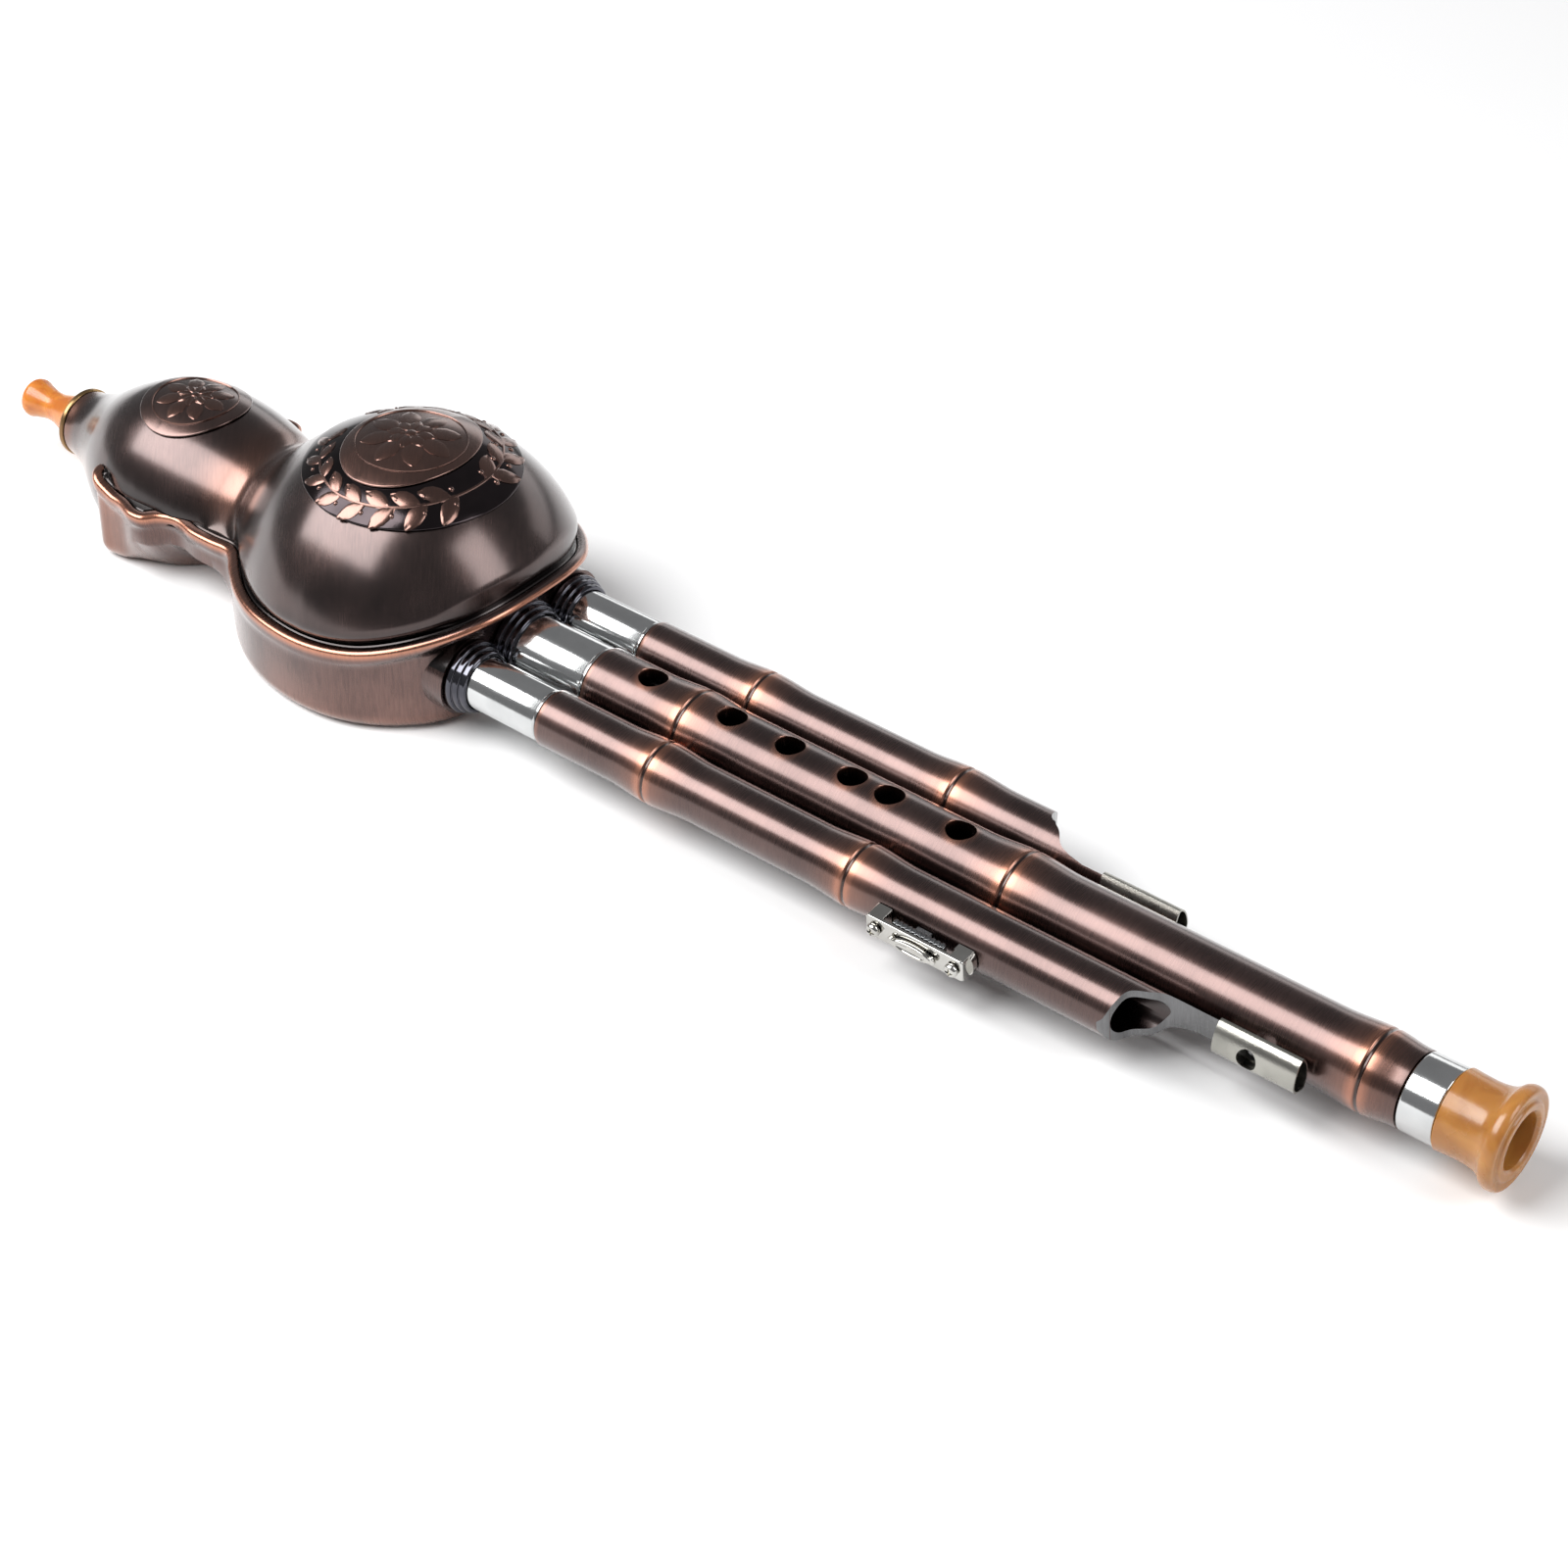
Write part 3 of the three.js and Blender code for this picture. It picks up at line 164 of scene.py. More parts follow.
@contextmanager
def opened(obj: Obj) -> Iterator[bmesh.types.BMesh]:
    """Opens an object's mesh for work and writes it back.

    Args:
        obj: The object.

    Returns:
        The open mesh.
    """
    work = bmesh.new()
    work.from_mesh(obj.data)
    yield work
    work.to_mesh(obj.data)
    work.free()


def tidy(obj: Obj) -> Obj:
    """Merges doubles, drops slivers and turns the faces outwards.

    Args:
        obj: Object whose mesh is tidied.

    Returns:
        The same object.
    """
    with opened(obj) as work:
        bmesh.ops.remove_doubles(work, verts=work.verts, dist=WELD)
        bmesh.ops.dissolve_degenerate(work, dist=WELD, edges=work.edges)
        bmesh.ops.recalc_face_normals(work, faces=work.faces)
    return obj


def lofted(name: str, rings: Sequence[Array]) -> Obj:
    """Makes a skin through rings; the first and last ring fold flat onto a line or a point.

    Args:
        name: Name of the object.
        rings: Rings of equally many points.

    Returns:
        The closed object.
    """
    count = len(rings[0])
    first = np.arange(len(rings) - 1)[:, None] * count
    here = first + np.arange(count)
    ahead = first + (np.arange(count) + 1) % count
    faces = np.stack([here, ahead, ahead + count, here + count], axis=2)
    mesh = bpy.data.meshes.new(name)
    mesh.from_pydata(np.vstack(rings).tolist(), [], faces.reshape(-1, 4).tolist())
    return tidy(linked(name, mesh))


def capped(rings: Sequence[Array]) -> list[Array]:
    """Adds the middles of the first and the last ring as folded ends."""
    foot, top = (np.repeat(ring.mean(axis=0)[None], len(ring), axis=0) for ring in (rings[0], rings[-1]))
    return [foot, *rings, top]


def lathe(name: str, profile: Array | Sequence, sides: int = 128, place: Sequence = (0.0, 0.0, 0.0)) -> Obj:
    """Turns an outline about the X axis.

    Args:
        name: Name of the object.
        profile: Outline as (x, radius) points; an outline off the axis is closed.
        sides: Sides of the turned body.
        place: Where the axis' own origin goes.

    Returns:
        The closed object.
    """
    outline = np.asarray(profile, float)
    if outline[0][1] > 0.0 or outline[-1][1] > 0.0:
        outline = np.vstack([outline, outline[:1]])
    ring = np.column_stack([np.ones(sides), np.cos(circle(sides)), np.sin(circle(sides))])
    return lofted(name, [ring * (x, radius, radius) + place for x, radius in outline])


def rod(start: float, end: float, radius: float, place: Sequence = (0.0, 0.0, 0.0), sides: int = 128) -> Obj:
    """Makes a round bar along X for cutting or joining."""
    return lathe("rod", [(start, 0.0), (start, radius), (end, radius), (end, 0.0)], sides, place)


def prism(name: str, outline: Array, low: float, high: float, edge: float = 0.0) -> Obj:
    """Stands an outline up along Z, with rounded edges at both ends.

    Args:
        name: Name of the object.
        outline: Convex outline in the XY plane.
        low: Height of its foot.
        high: Height of its top.
        edge: Size of the rounded edges.

    Returns:
        The prism.
    """
    middle = outline.mean(axis=0)
    shrink = 1.0 - edge / np.abs(outline - middle).max(axis=0)
    turns = np.arange(4) * (math.pi / 6) if edge else [QUARTER]
    ends = [(blend(shrink, 1.0, math.sin(turn)), edge * (1 - math.cos(turn))) for turn in turns]
    levels = [(scale, low + lift) for scale, lift in ends] + [(scale, high - lift) for scale, lift in ends[::-1]]
    return lofted(name, capped([raised(middle + (outline - middle) * scale, z) for scale, z in levels]))


def oval(half_x: float, half_y: float, centre: Sequence = (0.0, 0.0), sides: int = 64) -> Array:
    """Gives an oval outline from half its length and half its width."""
    return centre + np.column_stack([half_x * np.cos(circle(sides)), half_y * np.sin(circle(sides))])


def plate(x0: float, x1: float, y0: float, y1: float, corner: float = 0.0) -> Array:
    """Gives a rectangular outline with rounded corners."""
    return rounded([(x0, y0, corner), (x1, y0, corner), (x1, y1, corner), (x0, y1, corner)])


def block(low: Sequence, high: Sequence) -> Obj:
    """Makes a plain box for cutting, from its lowest and highest corner."""
    return prism("block", plate(low[0], high[0], low[1], high[1]), low[2], high[2])


def move(obj: Obj, matrix: Matrix) -> Obj:
    """Moves an object's mesh by a matrix."""
    obj.data.transform(matrix)
    return obj


def freeze(obj: Obj) -> Obj:
    """Turns an object's modifiers into plain mesh.

    Args:
        obj: The object.

    Returns:
        The same object.
    """
    graph = bpy.context.evaluated_depsgraph_get()
    mesh, old = bpy.data.meshes.new_from_object(obj.evaluated_get(graph)), obj.data
    obj.modifiers.clear()
    obj.data = mesh
    bpy.data.meshes.remove(old)
    return obj


def carve(base: Obj, tools: Sequence[Obj], cut: Cut) -> Obj:
    """Combines solids with a base and removes them.

    Args:
        base: Solid that is worked on.
        tools: Solids that cut it or join it.
        cut: How they combine.

    Returns:
        The base.
    """
    for tool in tools:
        modifier = base.modifiers.new("carve", "BOOLEAN")
        modifier.solver = "MANIFOLD"
        modifier.operation = cut.value
        modifier.object = tool
    tidy(freeze(base))
    for tool in tools:
        bpy.data.objects.remove(tool)
    return base


def joined(name: str, parts: Sequence[Obj]) -> Obj:
    """Puts several objects' meshes into one.

    Args:
        name: Name of the result.
        parts: Objects that are taken up.

    Returns:
        The result.
    """
    whole = linked(name, bpy.data.meshes.new(name))
    with opened(whole) as work:
        for part in parts:
            work.from_mesh(part.data)
            bpy.data.objects.remove(part)
    return tidy(whole)


def rows(items: bpy.types.bpy_prop_collection, field: str) -> Array:
    """Reads one vector for each point or face of a mesh.

    Args:
        items: Its points or faces.
        field: Which vector.

    Returns:
        One row of x, y, z for each.
    """
    values = np.zeros(len(items) * 3, np.float32)
    items.foreach_get(field, values)
    return values.reshape(-1, 3).astype(float)


def paint(obj: Obj, name: str, rule: Callable[..., Array], faces: bool = False) -> None:
    """Writes a mask on an object's points or faces.

    Args:
        obj: Object in the pipe frame, in millimetres.
        name: Name of the mask.
        rule: Gives the mask from the places of the points, or from the middles and normals of the faces.
        faces: True for a mask on the faces.
    """
    mesh = obj.data
    given = [rows(mesh.polygons, field) for field in ("center", "normal")] if faces else [rows(mesh.vertices, "co")]
    mask = mesh.attributes.new(name, "FLOAT", "FACE" if faces else "POINT")
    mask.data.foreach_set("value", np.clip(rule(*given), 0.0, 1.0).astype(np.float32))


class Nodes:
    """Short calls for building a node tree."""

    def __init__(self, tree: bpy.types.NodeTree) -> None:
        """Keeps the tree."""
        self.tree = tree

    def feed(self, node: bpy.types.Node, inputs: dict) -> bpy.types.Node:
        """Feeds values or sockets to a node.

        Args:
            node: The node.
            inputs: Values or sockets by input name or number.

        Returns:
            The node.
        """
        for name, value in inputs.items():
            if isinstance(value, bpy.types.NodeSocket):
                self.tree.links.new(value, node.inputs[name])
            else:
                node.inputs[name].default_value = value
        return node

    def add(self, kind: str, inputs: dict, **settings: object) -> bpy.types.NodeOutputs:
        """Adds a node.

        Args:
            kind: Type name of the node.
            inputs: Values or sockets by input name or number.
            settings: Properties of the node.

        Returns:
            The node's outputs.
        """
        node = self.tree.nodes.new(kind)
        for name, value in settings.items():
            setattr(node, name, value)
        return self.feed(node, inputs).outputs

    def math(self, operation: str, *values: object) -> bpy.types.NodeSocket:
        """Adds a Math node on values or sockets and gives its output."""
        return self.add("ShaderNodeMath", dict(enumerate(values)), operation=operation)[0]

    def mix(self, share: object, first: object, second: object) -> bpy.types.NodeSocket:
        """Mixes two colours by the share of the second and gives the mixed colour."""
        first, second = ((*c, 1.0) if isinstance(c, tuple) else c for c in (first, second))
        return self.add("ShaderNodeMix", {0: share, 6: first, 7: second}, data_type="RGBA")[2]

    def noise(self, vector: object, scale: Sequence, detail: float = 3.0) -> bpy.types.NodeSocket:
        """Adds a noise on coordinates stretched along each axis and gives its value."""
        mapped = self.add("ShaderNodeMapping", {"Vector": vector, "Scale": scale})[0]
        return self.add("ShaderNodeTexNoise", {"Vector": mapped, "Scale": 1.0, "Detail": detail})[0]

    def spread(self, value: object, low: float, high: float, to: Sequence = (0.0, 1.0)) -> bpy.types.NodeSocket:
        """Maps a range of values to another, clamped, and gives the mapped value."""
        ends = {"From Min": low, "From Max": high, "To Min": to[0], "To Max": to[1]}
        return self.add("ShaderNodeMapRange", {"Value": value, **ends})[0]

    def mask(self, name: str) -> bpy.types.NodeSocket:
        """Reads a mask that a piece carries."""
        return self.add("ShaderNodeAttribute", {}, attribute_name=name)["Fac"]

    def bump(self, height: object, strength: float) -> bpy.types.NodeSocket:
        """Makes a normal from a height."""
        return self.add("ShaderNodeBump", {"Height": height, "Strength": strength, "Distance": 0.00005})[0]


def group_tree(name: str, kind: str, inputs: dict, outputs: dict) -> tuple:
    """Starts a node group.

    Args:
        name: Name of the group.
        kind: Type of its tree.
        inputs: Socket type of each input, or the default of a number.
        outputs: Socket type of each output.

    Returns:
        Its nodes, the sockets of its inputs and the node of its outputs.
    """
    tree = bpy.data.node_groups.new(name, kind)
    for label, given in inputs.items():
        number = isinstance(given, float)
        socket = tree.interface.new_socket(name=label, in_out="INPUT", socket_type=FLOAT if number else given)
        if number:
            socket.default_value = given
    for label, given in outputs.items():
        tree.interface.new_socket(name=label, in_out="OUTPUT", socket_type=given)
    return Nodes(tree), tree.nodes.new("NodeGroupInput").outputs, tree.nodes.new("NodeGroupOutput")


@cache
def brush_lines() -> bpy.types.NodeTree:
    """Builds the group for brush lines that run across X, with blotches.

    Returns:
        The group: Lines and Blotch, each from 0 to 1.
    """
    inputs = {"Vector": "NodeSocketVector", "Pitch": 1.0, "Depth": 1.0}
    nodes, given, sink = group_tree("brush_lines", "ShaderNodeTree", inputs, {"Lines": FLOAT, "Blotch": FLOAT})
    scaling = {0: given["Vector"], "Scale": given["Pitch"]}
    pitched = nodes.add("ShaderNodeVectorMath", scaling, operation="SCALE")[0]
    coarse = nodes.noise(pitched, (2400.0, 200.0, 200.0), 2.0)
    fine = nodes.noise(pitched, (7500.0, 330.0, 330.0), 2.0)
    both = nodes.math("MULTIPLY_ADD", coarse, 0.4, nodes.math("MULTIPLY", fine, 0.6))
    centred = nodes.math("SUBTRACT", nodes.spread(both, 0.32, 0.68), 0.5)
    blotch = nodes.spread(nodes.noise(given["Vector"], (70.0, 70.0, 70.0), 4.0), 0.35, 0.68)
    nodes.feed(sink, {"Lines": nodes.math("MULTIPLY_ADD", centred, given["Depth"], 0.5), "Blotch": blotch})
    return nodes.tree


@cache
def specks() -> bpy.types.NodeTree:
    """Builds the group for fine specks and smudges that any surface has.

    Returns:
        The group: Specks and Smudge, each from 0 to 1.
    """
    inputs = {"Vector": "NodeSocketVector", "Grain": 2500.0, "Smudge Size": 90.0}
    nodes, given, sink = group_tree("specks", "ShaderNodeTree", inputs, {"Specks": FLOAT, "Smudge": FLOAT})
    for label, scale, low, high in (("Specks", "Grain", 0.42, 0.62), ("Smudge", "Smudge Size", 0.35, 0.7)):
        noise = nodes.add("ShaderNodeTexNoise", {"Vector": given["Vector"], "Scale": given[scale], "Detail": 4.0})[0]
        nodes.feed(sink, {label: nodes.spread(noise, low, high)})
    return nodes.tree


@dataclass(frozen=True)
class Finish:
    """Base of the finishes: one material for one slot of the record."""

    name: str
    slot: str

    def group(self, nodes: Nodes, make: Callable[[], bpy.types.NodeTree], **inputs: object) -> bpy.types.NodeOutputs:
        """Places a shared group and gives its outputs."""
        return nodes.add("ShaderNodeGroup", inputs, node_tree=make())

    def look(self, nodes: Nodes, vector: bpy.types.NodeSocket) -> dict:
        """Gives what the shader is fed; each finish has its own."""
        raise NotImplementedError

    def build(self) -> bpy.types.Material:
        """Builds the material.

        Returns:
            The material.
        """
        material = bpy.data.materials.new(self.name)
        material.use_nodes = True
        nodes = Nodes(material.node_tree)
        vector = nodes.add("ShaderNodeTexCoord", {})["Object"]
        nodes.feed(material.node_tree.nodes["Principled BSDF"], self.look(nodes, vector))
        return material


@dataclass(frozen=True)
class BrushedCopper(Finish):
    """Antique copper plating with brush lines across the pipes, worn edges and painted shade in grooves, bores and
    recesses.
    """

    dark: tuple = (0.042, 0.021, 0.019)
    warm: tuple = (0.142, 0.083, 0.073)
    worn: tuple = (0.540, 0.225, 0.135)
    bare: tuple = (0.200, 0.200, 0.205)
    bare_low: tuple = (0.060, 0.060, 0.0615)
    # Painted shade: the colour that grooves, bores and recesses are darkened to.
    crease: tuple = (0.012, 0.009, 0.009)
    rough: float = 0.27
    pitch: float = 1.0
    depth: float = 0.55
    height: float = 0.06
    coat: float = 0.9
    turn: float = 0.0

    def look(self, nodes: Nodes, vector: bpy.types.NodeSocket) -> dict:
        """Works out the finish.

        Args:
            nodes: The material's nodes.
            vector: Object coordinates.

        Returns:
            Values and sockets by the shader's inputs.
        """
        turning = {"Vector": vector, "Rotation": (0.0, 0.0, math.radians(self.turn))}
        brushed = {"Vector": nodes.add("ShaderNodeMapping", turning)[0], "Pitch": self.pitch, "Depth": self.depth}
        lines, blotch = self.group(nodes, brush_lines, **brushed)
        tone = nodes.math("MULTIPLY_ADD", lines, 0.62, nodes.math("MULTIPLY", blotch, 0.38))
        wear = nodes.math("MULTIPLY", nodes.mask("wear"), nodes.spread(tone, 0.0, 0.7, (0.55, 1.0)))
        colour = nodes.mix(wear, nodes.mix(tone, self.dark, self.warm), self.worn)
        # Painted shade: darkens grooves, bores and recesses by the mask.
        colour = nodes.mix(nodes.mask("crease"), colour, self.crease)
        return {
            "Base Color": nodes.mix(nodes.mask("bare"), colour, nodes.mix(tone, self.bare_low, self.bare)),
            "Roughness": nodes.spread(tone, 0.0, 1.0, (self.rough - 0.07, self.rough + 0.09)),
            "Metallic": 1.0,
            "Coat Weight": self.coat,
            "Coat Roughness": 0.20,
            "Normal": nodes.bump(lines, self.height),
        }


@dataclass(frozen=True)
class Plating(Finish):
    """Smooth metal plating with specks and smudges: chrome, black chrome, nickel, steel or brass."""

    tint: tuple
    shade: tuple
    rough: float
    spread: float
    height: float = 0.03

    def look(self, nodes: Nodes, vector: bpy.types.NodeSocket) -> dict:
        """Works out the finish.

        Args:
            nodes: The material's nodes.
            vector: Object coordinates.

        Returns:
            Values and sockets by the shader's inputs.
        """
        fleck, smudge = self.group(nodes, specks, Vector=vector)
        # Painted shade: darkens the plating where it meets another part, by the mask.
        crease = nodes.math("MULTIPLY", nodes.mask("crease"), 0.9)
        return {
            "Base Color": nodes.mix(crease, nodes.mix(smudge, self.tint, self.shade), (0.02, 0.02, 0.02)),
            "Roughness": nodes.spread(smudge, 0.0, 1.0, (self.rough, self.rough + self.spread)),
            "Metallic": 1.0,
            "Normal": nodes.bump(fleck, self.height),
        }


@dataclass(frozen=True)
class AmberResin(Finish):
    """Cloudy amber resin with slow swirls of light and dark."""

    pale: tuple = (0.640, 0.235, 0.035)
    deep: tuple = (0.450, 0.125, 0.016)
    swirl: float = 90.0
    rough: float = 0.22
    glow: float = 0.35

    def look(self, nodes: Nodes, vector: bpy.types.NodeSocket) -> dict:
        """Works out the finish.

        Args:
            nodes: The material's nodes.
            vector: Object coordinates.

        Returns:
            Values and sockets by the shader's inputs.
        """
        swirling = {"Vector": vector, "Scale": self.swirl, "Detail": 3.0, "Distortion": 2.2}
        swirl = nodes.spread(nodes.add("ShaderNodeTexNoise", swirling)[0], 0.32, 0.68)
        fleck, smudge = self.group(nodes, specks, Vector=vector)
        return {
            # Painted shade: turns to the deep colour where the piece meets another part, by the mask.
            "Base Color": nodes.mix(nodes.mask("crease"), nodes.mix(swirl, self.deep, self.pale), self.deep),
            "Roughness": nodes.spread(smudge, 0.0, 1.0, (self.rough, self.rough + 0.1)),
            "Subsurface Weight": self.glow,
            "Subsurface Radius": (1.0, 0.45, 0.12),
            "Subsurface Scale": 0.003,
            "Coat Weight": 0.3,
            "Coat Roughness": 0.12,
            "Normal": nodes.bump(fleck, 0.05),
        }


@dataclass(frozen=True)
class SoftDark(Finish):
    """Matt rubber or felt with a grain."""

    pale: tuple
    rough: float
    grain: float
    deep: tuple = (0.015, 0.015, 0.016)

    def look(self, nodes: Nodes, vector: bpy.types.NodeSocket) -> dict:
        """Works out the finish.

        Args:
            nodes: The material's nodes.
            vector: Object coordinates.

        Returns:
            Values and sockets by the shader's inputs.
        """
        fleck, smudge = self.group(nodes, specks, Vector=vector, Grain=self.grain)
        return {
            "Base Color": nodes.mix(fleck, self.deep, self.pale),
            "Roughness": nodes.spread(smudge, 0.0, 1.0, (self.rough - 0.1, self.rough + 0.1)),
            "Normal": nodes.bump(fleck, 0.4),
        }


@dataclass(frozen=True)
class PaleFloor(Finish):
    """Matt pale floor with a faint grain."""

    def look(self, nodes: Nodes, vector: bpy.types.NodeSocket) -> dict:
        """Gives the values and sockets by the shader's inputs."""
        grain = nodes.spread(nodes.noise(vector, (3.0, 3.0, 3.0)), 0.3, 0.7)
        return {"Base Color": nodes.mix(grain, (0.90,) * 3, (0.93,) * 3), "Roughness": 0.9, "Specular IOR Level": 0.1}


class Look(Enum):
    """Every finish of the instrument."""

    COPPER = BrushedCopper("brushed_copper", "copper")
    TRAY = BrushedCopper("base_copper", "copper", warm=(0.178, 0.098, 0.083), pitch=0.7, depth=0.7)
    DOME = BrushedCopper(
        "dome_copper", "dark_copper", dark=(0.028, 0.017, 0.016), warm=(0.108, 0.067, 0.061), rough=0.24, pitch=0.9,
        depth=0.5, height=0.05, turn=-38.0,
    )
    RELIEF = BrushedCopper(
        "relief_copper", "medallion", dark=(0.050, 0.029, 0.026), warm=(0.170, 0.095, 0.080), rough=0.22,
        depth=0.5, height=0.03, turn=-38.0,
    )
    GROUND = Plating("medallion_ground", "medallion", (0.050, 0.040, 0.042), (0.028, 0.023, 0.025), 0.10, 0.08)
    COLLAR = Plating("black_chrome", "black_chrome", (0.13, 0.13, 0.15), (0.05, 0.05, 0.06), 0.07, 0.08)
    CHROME = Plating("mirror_chrome", "chrome", (0.70, 0.71, 0.71), (0.56, 0.57, 0.57), 0.10, 0.08)
    NICKEL = Plating("satin_nickel", "nickel", (0.44, 0.43, 0.39), (0.27, 0.265, 0.24), 0.20, 0.16, 0.12)
    BRIGHT = Plating("bright_nickel", "nickel", (0.62, 0.61, 0.58), (0.42, 0.41, 0.38), 0.09, 0.09, 0.05)
    STEEL = Plating("ribbed_steel", "dark_steel", (0.34, 0.35, 0.36), (0.16, 0.165, 0.17), 0.18, 0.15)
    GOLD = Plating("neck_gold", "gold_rim", (0.42, 0.27, 0.12), (0.24, 0.14, 0.07), 0.22, 0.14)
    BRASS = Plating("reed_brass", "reed_brass", (0.72, 0.50, 0.20), (0.48, 0.31, 0.12), 0.20, 0.16)
    MOUTH = AmberResin("mouthpiece_amber", "amber")
    HORN = AmberResin("bell_amber", "amber", (0.480, 0.215, 0.050), (0.340, 0.130, 0.026), 60.0)
    RUBBER = SoftDark("seal_rubber", "seal", (0.05, 0.05, 0.052), 0.8, 4000.0)
    FELT = SoftDark("pad_felt", "felt", (0.10, 0.10, 0.105), 0.9, 6000.0)

    @cached_property
    def material(self) -> bpy.types.Material:
        """The finish's material, built once."""
        return self.value.build()


def settle(obj: Obj, body: str, look: Look, node: str = "", angle: float = 32.0, **masks: Callable) -> None:
    """Brings a finished piece into the row frame, dresses it and hangs it on its body.

    Args:
        obj: The piece, in the pipe frame in millimetres.
        body: Body that it rides on.
        look: Its finish.
        node: CAD node that it stands for.
        angle: Edges sharper than this many degrees stay crisp.
        masks: Rules of the masks on its points, by name.
    """
    for name, rule in masks.items():
        paint(obj, name, rule)
    move(obj, Matrix.Diagonal((MM, MM, MM, 1.0)) @ Matrix.Translation(PIPE_FRAME))
    obj.data.shade_smooth()
    obj.data.set_sharp_from_angle(angle=math.radians(angle))
    obj.data.materials.clear()
    obj.data.materials.append(look.material)
    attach(obj, body)
    if node:
        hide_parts(node)
    log.info("%s on %s: %d faces", obj.name, body, len(obj.data.polygons))


def dress_node(node: str, look: Look) -> None:
    """Gives a CAD node a finish.

    Args:
        node: Name of the node.
        look: Its finish.
    """
    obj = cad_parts[node]
    if not obj.material_slots:
        obj.data.materials.append(look.material)
    for slot in obj.material_slots:
        slot.material = look.material
    log.info("%s keeps its solid, in %s", node, look.value.name)


@dataclass
class GourdForm:
    """Sizes of the gourd and the surfaces that follow from them."""

    start: float = -142.8
    length: float = 124.1
    half_width: float = 39.75
    floor: float = 13.0
    rim_height: float = 6.5
    rim_rise: float = 10.5
    ear_rise: float = 3.0
    rim_flat: float = 2.5
    rim_round: float = 1.2
    rim_flare: float = 6.0
    wall: float = 2.4
    ledge_depth: float = 2.7
    ledge_width: float = 2.6
    shell_wall: float = 2.2
    lip_flange: float = 0.9
    foot_height: float = 5.0
    dome_top: float = 41.5
    dome_axis: float = 1.5
    bulb_radius: float = 23.5
    neck_axis: float = 0.6
    neck_length: float = 28.6
    neck_overlap: float = 2.6
    steps: int = 8

    RIM = (
        (0.019, 0), (0.015, 0.226), (0.004, 0.407), (0, 0.533), (0.023, 0.618), (0.058, 0.631),
        (0.099, 0.646), (0.139, 0.688), (0.171, 0.676), (0.193, 0.595), (0.224, 0.56), (0.276, 0.593),
        (0.329, 0.595), (0.373, 0.59), (0.417, 0.704), (0.474, 0.837), (0.538, 0.935), (0.611, 0.985),
        (0.687, 1), (0.756, 0.975), (0.82, 0.915), (0.877, 0.804), (0.927, 0.663), (0.97, 0.49),
        (0.994, 0.276), (1, 0),
    )
    WALL = (
        (0.019, 0), (0.018, 0.226), (0.008, 0.405), (0.005, 0.528), (0.026, 0.601), (0.06, 0.608),
        (0.099, 0.618), (0.139, 0.658), (0.169, 0.646), (0.195, 0.565), (0.226, 0.53), (0.276, 0.56),
        (0.329, 0.565), (0.371, 0.573), (0.415, 0.686), (0.472, 0.819), (0.537, 0.917), (0.611, 0.97),
        (0.687, 0.985), (0.754, 0.96), (0.814, 0.889), (0.865, 0.769), (0.911, 0.613), (0.935, 0.422),
        (0.944, 0.226), (0.945, 0),
    )
    FLOOR = (
        (0.027, 0), (0.027, 0.201), (0.021, 0.352), (0.015, 0.462), (0.034, 0.535), (0.066, 0.528),
        (0.097, 0.477), (0.131, 0.452), (0.163, 0.407), (0.197, 0.317), (0.232, 0.241), (0.272, 0.241),
        (0.309, 0.317), (0.348, 0.452), (0.393, 0.593), (0.458, 0.734), (0.527, 0.844), (0.606, 0.91),
        (0.683, 0.925), (0.753, 0.889), (0.812, 0.804), (0.861, 0.688), (0.898, 0.543), (0.918, 0.367),
        (0.926, 0.191), (0.928, 0),
    )
    CROWN = (
        (0.115, 0.581), (0.158, 0.576), (0.205, 0.559), (0.242, 0.535), (0.279, 0.504), (0.302, 0.480),
        (0.325, 0.470), (0.349, 0.489), (0.373, 0.537), (0.405, 0.622), (0.438, 0.706), (0.474, 0.781),
        (0.514, 0.855), (0.562, 0.925), (0.619, 0.978), (0.691, 1.000),
    )
    NECK = (
        (0, 0.352), (0.058, 0.369), (0.12, 0.402), (0.18, 0.443), (0.255, 0.512), (0.347, 0.615),
        (0.417, 0.697), (0.513, 0.795), (0.617, 0.881), (0.754, 0.955), (0.872, 0.988), (1, 1),
    )

    def __post_init__(self) -> None:
        """Works out the outlines and profiles."""
        self.neck_joint = self.start + self.neck_overlap
        self.neck_end = self.neck_joint - self.neck_length
        self.bulb_x, self.waist_x, self.dome_x = (self.start + self.CROWN[i][0] * self.length for i in (0, 6, -1))
        self.rim, self.side, self.base = (self.loop(shares) for shares in (self.RIM, self.WALL, self.FLOOR))
        self.rim_out, self.side_out = self.outward(self.rim), self.outward(self.side)
        crown = np.array(self.CROWN) * (self.length, self.dome_top) + (self.start, 0.0)
        self.crown_line = through(crown, 6)
        neck = np.array(self.NECK) * (self.bulb_x - self.neck_end, self.bulb_radius) + (self.neck_end, 0.0)
        x = self.crown_line[:, 0]
        bulb = self.crown_line[(x > self.bulb_x) & (x <= self.waist_x)]
        self.neck_line = np.vstack([through(neck, 5), bulb - (0.0, self.neck_axis)])
        self.seam = self.rim_height - self.ledge_depth + GAP

    def loop(self, shares: Sequence) -> Array:
        """Closes one outline from its half.

        Args:
            shares: Shares of the length and of the half width.

        Returns:
            The outline's points in plan, both halves.
        """
        half = through(np.array(shares, float) * (self.length, self.half_width) + (self.start, 0.0), self.steps)
        half[0][1] = half[-1][1] = 0.0
        whole = np.vstack([half, half[-2:0:-1] * (1.0, -1.0)])
        for _ in range(3):
            whole = (np.roll(whole, 1, axis=0) + 2 * whole + np.roll(whole, -1, axis=0)) / 4
        return whole

